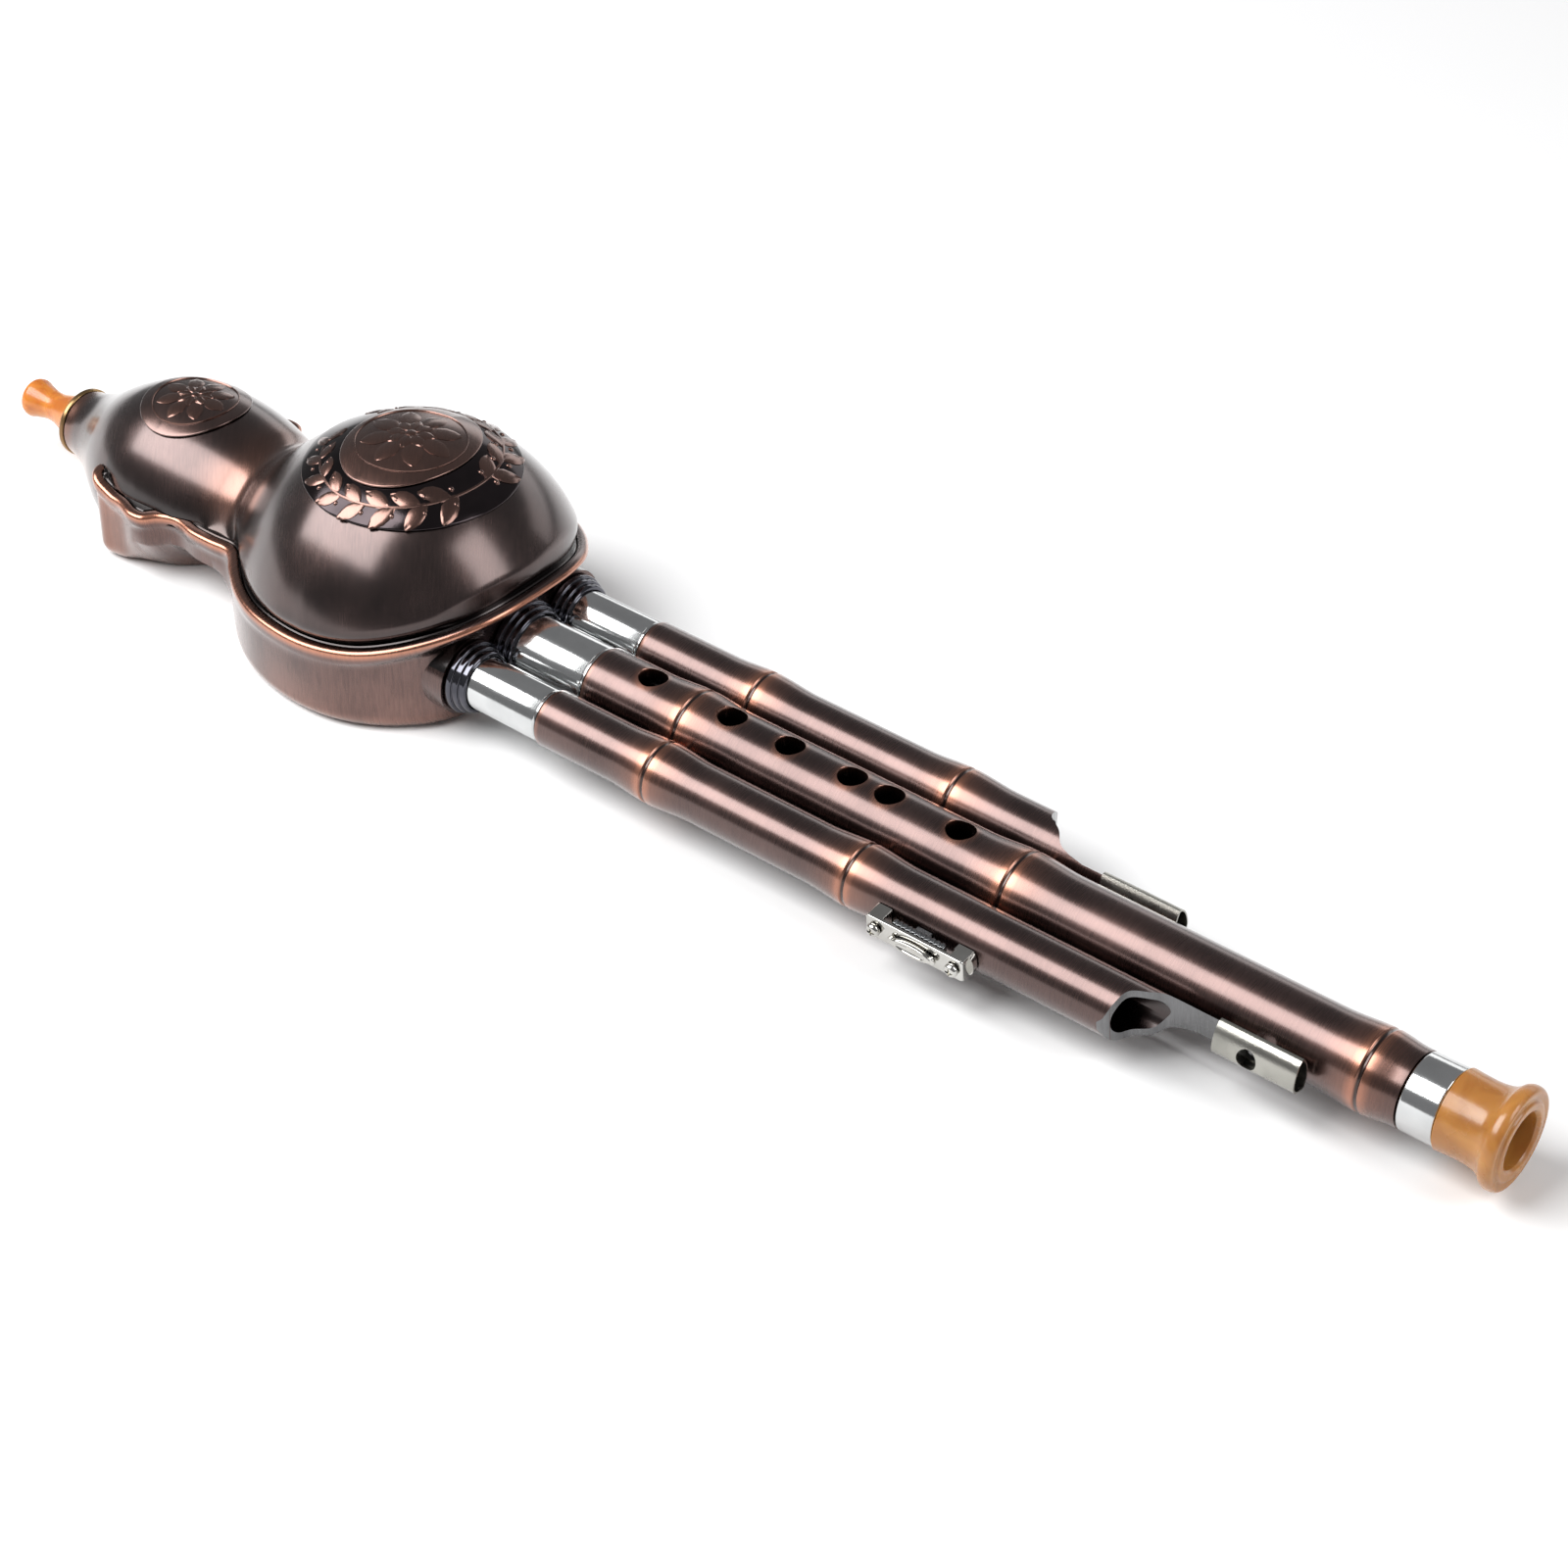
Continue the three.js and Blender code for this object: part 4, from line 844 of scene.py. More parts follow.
    def outward(self, loop: Array) -> Array:
        """Gives the outward direction at each point of an outline.

        Args:
            loop: The outline.

        Returns:
            One unit direction for each point.
        """
        along = np.roll(loop, -1, axis=0) - np.roll(loop, 1, axis=0)
        along /= np.linalg.norm(along, axis=1)[:, None]
        return np.column_stack([-along[:, 1], along[:, 0]])

    def rim_top(self, x: Array) -> Array:
        """Gives the height of the tray's rim.

        Args:
            x: Places along the gourd.

        Returns:
            Heights over the pipes' axes.
        """
        share = (np.asarray(x, float) - self.start) / self.length
        rise = np.clip((share - 0.55) / 0.45, 0.0, 1.0) ** 2.7
        return self.rim_height + self.rim_rise * rise + self.ear_rise * (1 - smoothstep(share, 0.0, 0.08))

    def axis_height(self, x: Array) -> Array:
        """Gives the height of the middle of the round sections, which go over from the bulb to the dome."""
        share = (np.asarray(x, float) - self.start) / self.length
        return blend(self.neck_axis, self.dome_axis, smoothstep(share, 0.28, 0.48))

    def crown(self, x: Array) -> Array:
        """Gives the height of the middle line's crown."""
        return np.interp(x, *self.crown_line.T)

    def height(self, x: Array, y: Array) -> Array:
        """Gives the outside of the front shell from above.

        Args:
            x: Places along the gourd.
            y: Places across it.

        Returns:
            Heights over the pipes' axes.
        """
        middle = np.clip(x, self.bulb_x, self.dome_x)
        axis = self.axis_height(middle)
        radius = np.where(x < self.bulb_x, np.interp(x, *self.neck_line.T), self.crown(middle) - axis)
        reach = np.where(x < self.bulb_x, np.abs(y), np.hypot(x - middle, y))
        return axis + np.sqrt(np.maximum(radius**2 - reach**2, 0.0))

    def over(self, x: Array, y: Array, lift: Array | float) -> Array:
        """Gives places over the front shell, along its normals.

        Args:
            x: Places along the gourd.
            y: Places across it.
            lift: Distances from the shell.

        Returns:
            One row of x, y, z for each place.
        """
        step = 0.4
        slope_x = (self.height(x + step, y) - self.height(x - step, y)) / (2 * step)
        slope_y = (self.height(x, y + step) - self.height(x, y - step)) / (2 * step)
        normals = np.column_stack([-slope_x, -slope_y, np.ones_like(slope_x)])
        normals /= np.linalg.norm(normals, axis=1, keepdims=True)
        return np.column_stack([x, y, self.height(x, y)]) + normals * np.broadcast_to(lift, x.shape)[:, None]


@dataclass
class Pipe:
    """One pipe with its ferrule and reed, and the sizes of its socket."""

    name: str
    body: str
    side: float
    radius: float
    bore: float
    length: float
    tenon: float
    collar: float
    nodes: tuple
    reed_length: float
    swell: float = 0.7
    swell_reach: float = 12.0
    groove: float = 0.45

    def __post_init__(self) -> None:
        """Works out the socket."""
        self.place = (0.0, self.side, 0.0)
        self.collar_bore = self.collar + 0.25
        self.socket = self.collar_bore + 0.9
        self.flange = self.collar + 2.4

    def from_axis(self, places: Array) -> Array:
        """Gives the distance of places from the pipe's axis."""
        return np.hypot(places[:, 1] - self.side, places[:, 2])

    def radius_at(self, x: Array) -> Array:
        """Gives the pipe's outside with its bamboo nodes.

        Args:
            x: Places along it.

        Returns:
            Its radius at each place.
        """
        radius = np.full(len(x), self.radius)
        for node in self.nodes:
            reach = np.where(x > node, min(self.swell_reach, 0.9 * (self.length - node)), self.swell_reach)
            share = np.clip(np.abs(x - node) / reach, 0.0, 1.0)
            radius += self.swell * (1 + np.cos(math.pi * share)) / 2 - self.groove * hump(x - node, 0.5, 4)
        return radius

    def blank(self) -> Obj:
        """Turns the pipe with its tenon and bore.

        Returns:
            The pipe without holes.
        """
        fine = [np.linspace(node - 1.4, node + 1.4, 29) for node in self.nodes]
        x = np.unique(np.round(np.concatenate([np.arange(0.3, self.length - 0.2, 1.0)] + fine), 3))
        radius, end = self.radius, self.length
        profile = np.vstack([
            [(TENON_END, self.bore), (TENON_END, self.tenon - 0.3), (TENON_END + 0.3, self.tenon)],
            [(0.0, self.tenon), (0.0, radius - 0.25), (0.12, radius - 0.06)],
            np.column_stack([x, self.radius_at(x)]),
            [(end - 0.1, radius - 0.05), (end, radius - 0.25), (end, self.bore)],
        ])
        return lathe(f"{self.name}_copper_pipe", profile, 144, self.place)

    def dress(self, piece: Obj, node: str, holes: Sequence = (), rim: float = 0.0) -> None:
        """Paints wear and painted shade on the pipe and hangs it on its body.

        Args:
            piece: The pipe's mesh.
            node: CAD node that it stands for.
            holes: Places of the holes with worn edges.
            rim: Radius of those edges.
        """

        def wear(p: Array) -> Array:
            """Marks the shoulders of the nodes and the edges of the holes as worn.

            Args:
                p: Places on the pipe.

            Returns:
                The wear at each place.
            """
            value = (1 - smoothstep(p[:, 0], 0.1, 0.9)) * 0.35
            for place in self.nodes:
                away = np.abs(p[:, 0] - place)
                value = np.maximum.reduce([value, hump(away - 1.1, 1.5) * 0.75, hump(away, 6.0) * 0.3])
            for place in holes:
                ring = np.abs(np.hypot(p[:, 0] - place, p[:, 1] - self.side) - rim)
                value = np.maximum(value, hump(ring, 0.7) * 0.4 * (p[:, 2] > 0.0))
            return value * (self.from_axis(p) > self.bore + 0.2)

        def crease(p: Array) -> Array:
            """Marks the grooves and the bore for painted shade."""
            grooves = np.maximum.reduce([hump(p[:, 0] - place, 0.42, 4) * 0.9 for place in self.nodes])
            return np.where(self.from_axis(p) < self.bore + 0.15, 0.75, grooves)

        settle(piece, self.body, Look.COPPER, node, 38.0, wear=wear, crease=crease)

    def ferrule(self) -> None:
        """Builds and dresses the chrome ferrule on the tenon."""
        start, end, outer, inner = TENON_END + OVERRUN, -GAP, self.collar, self.tenon + 0.25
        profile = rounded([
            (start, inner), (start, outer, 0.3), (end - 1.0, outer), (end - 0.85, outer - 0.12),
            (end - 0.7, outer), (end, outer, 0.25), (end, inner),
        ])
        piece = lathe(f"{self.name}_chrome_ferrule", profile, place=self.place)
        node = f"{self.name}_ferrule"
        # Painted shade at the ferrule's end, where it meets the pipe.
        settle(piece, self.body, Look.CHROME, node, 50.0, crease=lambda p: hump(p[:, 0] - end, 0.25) * 0.8)

    def reed(self) -> None:
        """Builds and dresses the reed's tube, plate and plug."""
        far, joint, deep = TENON_END - self.reed_length, TENON_END - GAP, TENON_END + 8.8
        radius, shank = self.bore * 0.78, self.bore - GAP
        bore = radius - 0.7
        profile = rounded([
            (far, bore), (far, radius, 0.2), (joint, radius), (joint, shank, 0.3), (deep, shank, 0.4), (deep, bore),
        ])
        tube = lathe(f"{self.name}_brass_reed_tube", profile, 96, self.place)
        low = (far + 0.08 * self.reed_length, self.side - self.bore, radius * 0.55)
        high = (far + 0.86 * self.reed_length, self.side + self.bore, radius * 0.55 + 2 * self.bore)
        carve(tube, [block(low, high)], Cut.TAKE)
        settle(tube, self.body, Look.BRASS, f"{self.name}_reed_tube")
        dress_node(f"{self.name}_reed_plate", Look.BRASS)
        depth, back, inner = self.reed_length * 0.07, far - GAP, bore - GAP
        profile = rounded([
            (back - depth / 2, 0.0), (back - depth / 2, radius, 0.4), (back, radius, 0.15), (back, inner),
            (far + depth, inner, 0.2), (far + depth, 0.0),
        ])
        plug = lathe(f"{self.name}_amber_plug", profile, 72, self.place)
        settle(plug, self.body, Look.MOUTH, f"{self.name}_reed_plug")


MAIN = Pipe("main", "melody_pipe", 0.0, 8.65, 6.2, 212.0, 7.4, 8.2, (27.0, 115.6, 203.3), 34.0)
RIGHT = Pipe("right", "right_drone", -17.14, 6.77, 4.85, 189.3, 5.5, 6.3, (31.4, 86.8), 30.0)
LEFT = Pipe("left", "left_drone", 17.14, 6.77, 4.85, 144.3, 5.5, 6.3, (32.3, 87.2), 30.0)
PIPES = (MAIN, RIGHT, LEFT)


@dataclass
class WindChest:
    """The gourd: tray, domed front shell, collars of the sockets, neck rim and seals."""

    form: GourdForm
    neck_bore: float = 6.2
    neck_bore_depth: float = 15.0
    ring_bore: float = 7.1
    ring_length: float = 1.4
    seal_length: float = 2.2
    sleeve_depth: float = 10.0

    def __post_init__(self) -> None:
        """Works out the front shell's sections, one for each point of the lip."""
        form = self.form
        lip = form.rim - form.rim_out * (form.rim_flat + GAP)
        self.middle = np.clip(lip[:, 0], form.bulb_x, form.dome_x)
        away = lip - np.column_stack([self.middle, np.zeros(len(lip))])
        self.reach = np.linalg.norm(away, axis=1)
        self.out = away / self.reach[:, None]
        self.top = form.rim_top(form.rim[:, 0])
        self.axis = form.axis_height(self.middle)
        sunk = SINK * (1 - smoothstep(self.middle, form.bulb_x + 4.0, form.waist_x - 1.0))
        self.radius = form.crown(self.middle) - self.axis - sunk

    def tray_rings(self) -> list[Array]:
        """Lays the rings of the tray from its floor over the rim and back down inside.

        Returns:
            The rings.
        """
        form, tops = self.form, self.top
        runs = np.linalg.norm(form.side - form.base, axis=1)
        rises = np.minimum(runs * 1.3, tops + form.floor - form.rim_flare - form.wall)
        slope = np.clip((runs - 4.0) / 6.0, 0.0, 1.0)[:, None]

        def edge(turn: float, inset: float) -> Array:
            """Gives one ring of the floor's rounded edge.

            Args:
                turn: How far round it lies, from the floor (0) to the wall (1).
                inset: How far it lies inside the outer face.

            Returns:
                The ring.
            """
            out = blend(math.sin(turn * QUARTER), turn, slope)
            up = blend(1 - math.cos(turn * QUARTER), turn, slope)[:, 0]
            plan = blend(form.base, form.side, out) - form.side_out * inset * out
            return raised(plan, up * rises + inset * (1 - up) - form.floor)

        def off_rim(inset: float, drop: float) -> Array:
            """Gives the rim's outline moved inwards and down."""
            return raised(form.rim - form.rim_out * inset, tops - drop)

        def spine(z: float) -> Array:
            """Folds the floor onto its middle line."""
            x = np.clip(form.base[:, 0], form.base[0][0], form.base[len(form.base) // 2][0])
            return raised(np.column_stack([x, np.zeros(len(x))]), z)

        turns = np.linspace(0.0, 1.0, 11)
        flare = through([(0.0, 6.0), (0.09, 5.0), (0.3, 4.05), (0.72, 3.05), (1.0, 1.2)], 3)[1:-1]
        inner = form.rim_flat + form.ledge_width
        return [
            spine(-form.floor),
            *(edge(turn, 0.0) for turn in turns),
            *(raised(blend(form.side, form.rim, share), tops - drop) for share, drop in flare),
            *(off_rim(1.2 * (1 - math.cos(a)), 1.2 * (1 - math.sin(a))) for a in np.linspace(0.0, QUARTER, 7)),
            *(off_rim(2.1 + 0.4 * math.sin(a), 0.4 * (1 - math.cos(a))) for a in np.linspace(0.0, QUARTER, 4)),
            off_rim(form.rim_flat, form.ledge_depth),
            off_rim(inner, form.ledge_depth),
            off_rim(inner, form.ledge_depth + form.rim_round),
            raised(form.side - form.side_out * form.wall, tops - form.rim_flare - form.wall),
            *(edge(turn, form.wall) for turn in turns[::-1]),
            spine(form.wall - form.floor),
        ]

    def neck_body(self, offset: float, start: float, end: float, low: float = -40.0, fade: float = 0.0) -> Obj:
        """Turns the neck and the small bulb.

        Args:
            offset: How much the body is grown.
            start: Its lower end along X.
            end: Its upper end along X.
            low: Height below which it is cut off.
            fade: How much it sinks before the waist, where the domes take over.

        Returns:
            The filled body.
        """
        form = self.form
        line = form.neck_line
        inside = line[(line[:, 0] > start + 0.01) & (line[:, 0] < end - 0.01)]
        foot, top = ([(x, np.interp(x, *line.T))] for x in (start, end))
        grown = np.vstack([foot, inside, top])
        grown[:, 1] += offset - fade * smoothstep(grown[:, 0], form.bulb_x + 4.0, form.waist_x)
        profile = np.vstack([[(start, 0.0)], grown, [(end, 0.0)]])
        body = lathe("neck", profile, 192, (0.0, 0.0, form.neck_axis))
        if low > -form.floor - form.bulb_radius:
            carve(body, [block((-200.0, -80.0, low), (20.0, 80.0, 90.0))], Cut.KEEP)
        return body

    def back_shell(self) -> None:
        """Builds and dresses the tray with its bosses, sockets and seat for the neck."""
        form = self.form
        neck, joint, back = form.neck_end, form.neck_joint, WALL_FACE - BOSS_DEPTH
        shell = lofted("gourd_back", self.tray_rings())
        carve(shell, [rod(back, WALL_FACE, p.socket + 2.0, p.place) for p in PIPES], Cut.JOIN)
        carve(shell, [
            *(rod(WALL_FACE, WALL_FACE + 12.0, p.flange + GAP, p.place) for p in PIPES),
            *(rod(back - OVERRUN, WALL_FACE + OVERRUN, p.socket, p.place) for p in PIPES),
            self.neck_body(GAP, neck, joint + GAP),
            self.neck_body(GAP, neck, form.waist_x, form.seam - GAP),
            self.neck_body(-form.shell_wall, neck, joint + 3 * form.neck_overlap, form.wall - form.floor),
        ], Cut.TAKE)
        self.keep_largest(shell)

        def wear(p: Array) -> Array:
            """Marks the rim's bead, the ears and the foot as worn.

            Args:
                p: Places on the tray.

            Returns:
                The wear at each place.
            """
            drop = form.rim_top(p[:, 0]) - p[:, 2]
            bead = (1 - smoothstep(drop, 0.9, 2.6)) * smoothstep(drop, -0.2, 0.25)
            ear = (1 - smoothstep(p[:, 0], form.start + 4.0, form.start + 22.0)) * 0.45
            foot = (1 - smoothstep(p[:, 2] + form.floor, 0.5, 6.0)) * 0.3
            return np.maximum.reduce([bead * 0.95, ear, foot])

        # Painted shade on the faces inside the tray.
        paint(shell, "crease", self.inside, faces=True)
        settle(shell, CHEST, Look.TRAY, "back_shell", 40.0, wear=wear)

    def inside(self, middles: Array, normals: Array) -> Array:
        """Tells which faces of the tray look into it, which get painted shade.

        Args:
            middles: Middle of each face.
            normals: Normal of each face.

        Returns:
            True for the faces inside.
        """
        form = self.form
        away = middles[:, None, :2] - form.side[None, ::4]
        nearest = np.argmin((away**2).sum(axis=2), axis=1)
        facing = (normals[:, :2] * form.side_out[::4][nearest]).sum(axis=1)
        drop = form.rim_top(middles[:, 0]) - middles[:, 2]
        seen = ((facing < -0.3) & (drop > 0.7)) | ((normals[:, 2] > 0.5) & (drop > 2.2))
        return seen & (middles[:, 2] > -form.floor + 1.0)

    def keep_largest(self, obj: Obj) -> None:
        """Deletes the loose slivers that cuts may leave.

        Args:
            obj: Object to clean.
        """
        with opened(obj) as work:
            left, islands = set(work.verts), []
            while left:
                stack, island = [left.pop()], []
                while stack:
                    island.append(here := stack.pop())
                    near = {edge.other_vert(here) for edge in here.link_edges} & left
                    left -= near
                    stack += near
                islands.append(island)
            for island in sorted(islands, key=len)[:-1]:
                bmesh.ops.delete(work, geom=island, context="VERTS")

    def put(self, reach: Array | float, z: Array | float) -> Array:
        """Places one ring of the front shell at distances from its sections' middles and at heights."""
        plan = np.column_stack([self.middle, np.zeros(len(self.middle))])
        return raised(plan + self.out * np.broadcast_to(reach, self.reach.shape)[:, None], z)

    def arch(self, offset: float, steps: int) -> list[tuple]:
        """Gives the round part of the sections, from the foot to just short of the crown.

        Args:
            offset: How much the shell is grown.
            steps: How many rings to give.

        Returns:
            Pairs of reach and height.
        """
        radius = self.radius + offset
        turn = np.arccos((self.top + self.form.foot_height - self.axis) / radius)
        angles = [turn * (1 - k / steps) for k in range(steps)]
        return [(radius * np.sin(a), self.axis + radius * np.cos(a)) for a in angles]

    def foot(self, steps: int) -> list[tuple]:
        """Gives the foot of the sections, from the lip to the round.

        Args:
            steps: How many rings to give.

        Returns:
            Pairs of reach and height.
        """
        form, top, axis = self.form, self.top, self.axis
        reach, high = self.arch(0.0, 1)[0]
        start = self.reach - form.lip_flange
        lean = (high - axis) / reach * form.foot_height
        tuck = smoothstep(reach - start, -2 * form.lip_flange, form.lip_flange)
        bend = blend(np.minimum(reach + lean, start), reach + lean / 2, tuck)
        bend_z = top + tuck * form.foot_height / 2
        bulb = (1 - smoothstep(self.middle, form.waist_x - 12.0, form.waist_x)) * (1 - tuck)
        pairs = [(self.reach, top - 0.25), (self.reach - 0.25, top)]
        for t in np.arange(steps) / steps:
            z = blend(top, high, t)
            round_reach = np.sqrt(self.radius**2 - (z - axis) ** 2)
            out = blend(bow(start, bend, reach, t), round_reach, bulb)
            pairs.append((out, blend(bow(top, bend_z, high, t), z, bulb)))
        return pairs

    def front_shell(self) -> None:
        """Builds and dresses the two domes with the neck and the lip."""
        form = self.form
        under = self.top - (form.ledge_depth - GAP)
        crown = self.axis + self.radius
        shell = lofted("gourd_front", [
            self.put(0.0, under), self.put(self.reach, under),
            *(self.put(reach, z) for reach, z in self.foot(10) + self.arch(0.0, 34)),
            self.put(0.0, crown),
        ])
        neck, waist, bottom = form.neck_end, form.waist_x, GAP - form.floor
        upper = self.neck_body(0.0, neck, waist, form.seam, 2 * SINK)
        carve(shell, [upper, self.neck_body(0.0, neck, form.neck_joint, bottom)], Cut.JOIN)
        inner = self.reach - form.ledge_width - GAP
        hollow = lofted("hollow", [
            self.put(0.0, -form.floor), self.put(inner, -form.floor), self.put(inner, under),
            *(self.put(reach, z) for reach, z in self.arch(-form.shell_wall, 8)),
            self.put(0.0, crown - form.shell_wall),
        ])
        bore_end = neck + self.neck_bore_depth
        passage = self.neck_body(-form.shell_wall, bore_end, waist, bottom + form.shell_wall)
        bore = rod(neck - OVERRUN, bore_end + OVERRUN, self.neck_bore, (0.0, 0.0, form.neck_axis))
        carve(shell, [hollow, passage, bore], Cut.TAKE)
        self.keep_largest(shell)

        def wear(p: Array) -> Array:
            """Marks the waist and the neck's mouth as a little worn."""
            return np.maximum(hump(p[:, 0] - waist, 7.0) * 0.25, (1 - smoothstep(p[:, 0], neck, neck + 5.0)) * 0.35)

        def crease(p: Array) -> Array:
            """Marks the flare above the lip, at the foot of the dome, for painted shade."""
            rise = p[:, 2] - form.rim_top(p[:, 0])
            return (1 - smoothstep(rise, 0.5, 7.0)) * 0.85 * (p[:, 0] > form.start + 3.0)

        settle(shell, CHEST, Look.DOME, "front_shell", 40.0, wear=wear, crease=crease)

    def collars(self) -> None:
        """Builds and dresses the black stepped collars of the three sockets."""
        back = WALL_FACE + GAP
        step, deep = (PLATE_FRONT - back) / 3, back - self.sleeve_depth
        solids = []
        for pipe in PIPES:
            sleeve = pipe.collar_bore + 0.6
            wide, mid, slim = pipe.flange, pipe.flange - 0.6, pipe.flange - 1.2
            profile = rounded([
                (deep, 0.0), (deep, sleeve, 0.2), (back, sleeve), (back, wide, 0.4),
                (back + step, wide, 0.6), (back + step, mid, 0.15), (back + 2 * step, mid, 0.6),
                (back + 2 * step, slim, 0.15), (PLATE_FRONT, slim, 0.7), (PLATE_FRONT, 0.0),
            ])
            solids.append(lathe("socket_collars", profile, place=pipe.place))
        collar = carve(solids[0], solids[1:], Cut.JOIN)
        bores = [rod(back - BOSS_DEPTH, PLATE_FRONT + OVERRUN, p.collar_bore, p.place) for p in PIPES]
        settle(carve(collar, bores, Cut.TAKE), CHEST, Look.COLLAR, "socket_plate", 50.0)

    def rings(self) -> None:
        """Builds and dresses the thin gold rim of the neck's mouth and the rubber rings behind the collars."""
        end = self.form.neck_end - GAP
        start, inner = end - self.ring_length, self.ring_bore
        outer = self.form.NECK[0][1] * self.form.bulb_radius + 0.3
        profile = rounded([(start, inner, 0.1), (start, outer, 0.45), (end, outer, 0.45), (end, inner, 0.1)])
        ring = lathe("neck_ring", profile, 160, (0.0, 0.0, self.form.neck_axis))
        settle(ring, CHEST, Look.GOLD, "neck_rim", 60.0)
        end = WALL_FACE - self.sleeve_depth
        for pipe in PIPES:
            start, inner, outer = end - self.seal_length, pipe.collar_bore, pipe.socket - 0.15
            profile = rounded([(start, inner, 0.3), (start, outer, 0.5), (end, outer, 0.5), (end, inner, 0.3)])
            ring = lathe(f"{pipe.name}_seal_ring", profile, 96, pipe.place)
            settle(ring, CHEST, Look.RUBBER, f"{pipe.name}_socket_seal")

    def build(self) -> None:
        """Builds every piece of the wind chest."""
        for step in (self.back_shell, self.front_shell, self.collars, self.rings):
            step()


@cache
def row_of_copies() -> bpy.types.GeometryNodeTree:
    """Builds the Geometry Nodes tree that sets copies of a piece in a row along an oval arc or a line.

    Returns:
        The tree, with its sizes as named inputs.
    """
    sizes = ("Half Length", "Half Width", "Start", "Sweep", "Lean", "Taper", "Pitch")
    kinds = {"Geometry": "Geometry", "Copy": "Object", "Finish": "Material", "Count": "Int"}
    inputs = {label: "NodeSocket" + kind for label, kind in kinds.items()} | dict.fromkeys(sizes, 0.0)
    outputs = {"Geometry": "NodeSocketGeometry"}
    nodes, given, sink = group_tree("row_of_copies", "GeometryNodeTree", inputs, outputs)
    index = nodes.add("GeometryNodeInputIndex", {})[0]
    spans = nodes.math("MAXIMUM", nodes.math("SUBTRACT", given["Count"], 1.0), 1.0)
    share = nodes.math("DIVIDE", index, spans)
    angle = nodes.math("MULTIPLY_ADD", given["Sweep"], share, given["Start"])
    cosine, sine = nodes.math("COSINE", angle), nodes.math("SINE", angle)
    run = nodes.math("MULTIPLY", given["Pitch"], index)
    across = nodes.math("MULTIPLY", given["Half Width"], sine)
    along = nodes.math("MULTIPLY_ADD", given["Half Length"], cosine, run)
    place = nodes.add("ShaderNodeCombineXYZ", {0: along, 1: across})[0]
    way = nodes.math("SIGN", given["Sweep"])
    ahead_x = nodes.math("MULTIPLY", nodes.math("MULTIPLY", given["Half Length"], sine), -1.0)
    ahead_y = nodes.math("MULTIPLY", given["Half Width"], cosine)
    heading = nodes.math("ARCTAN2", nodes.math("MULTIPLY", ahead_y, way), nodes.math("MULTIPLY", ahead_x, way))
    turn = nodes.add("ShaderNodeCombineXYZ", {2: nodes.math("ADD", heading, given["Lean"])})[0]
    shrink = nodes.math("SUBTRACT", 1.0, nodes.math("MULTIPLY", given["Taper"], share))
    points = nodes.add("GeometryNodePoints", {"Count": given["Count"], "Position": place})[0]
    copy = nodes.add("GeometryNodeObjectInfo", {"Object": given["Copy"]})["Geometry"]
    laid = {"Points": points, "Instance": copy, "Rotation": turn, "Scale": shrink}
    real = nodes.add("GeometryNodeRealizeInstances", {0: nodes.add("GeometryNodeInstanceOnPoints", laid)[0]})[0]
    done = nodes.add("GeometryNodeSetMaterial", {"Geometry": real, "Material": given["Finish"]})[0]
    nodes.feed(sink, {0: done})
    return nodes.tree


@dataclass
class Row:
    """A row of copies of one small piece, laid out by the Geometry Nodes tree."""

    look: Look
    count: int
    half_length: float = 0.0
    half_width: float = 0.0
    start: float = 0.0
    sweep: float = 0.0
    lean: float = 0.0
    taper: float = 0.0
    pitch: float = 0.0

    def lay(self, name: str, copy: Obj) -> Obj:
        """Lays the row out as a plain mesh.

        Args:
            name: Name of the result.
            copy: Piece that is copied, which stays.

        Returns:
            The row as one object.
        """
        row = linked(name, bpy.data.meshes.new(name))
        modifier = row.modifiers.new("row", "NODES")
        modifier.node_group = row_of_copies()
        values = vars(self) | {"copy": copy, "finish": self.look.material}
        for item in modifier.node_group.interface.items_tree:
            field = item.name.lower().replace(" ", "_")
            if item.in_out == "INPUT" and field in values:
                modifier[item.identifier] = values[field]
        return freeze(row)


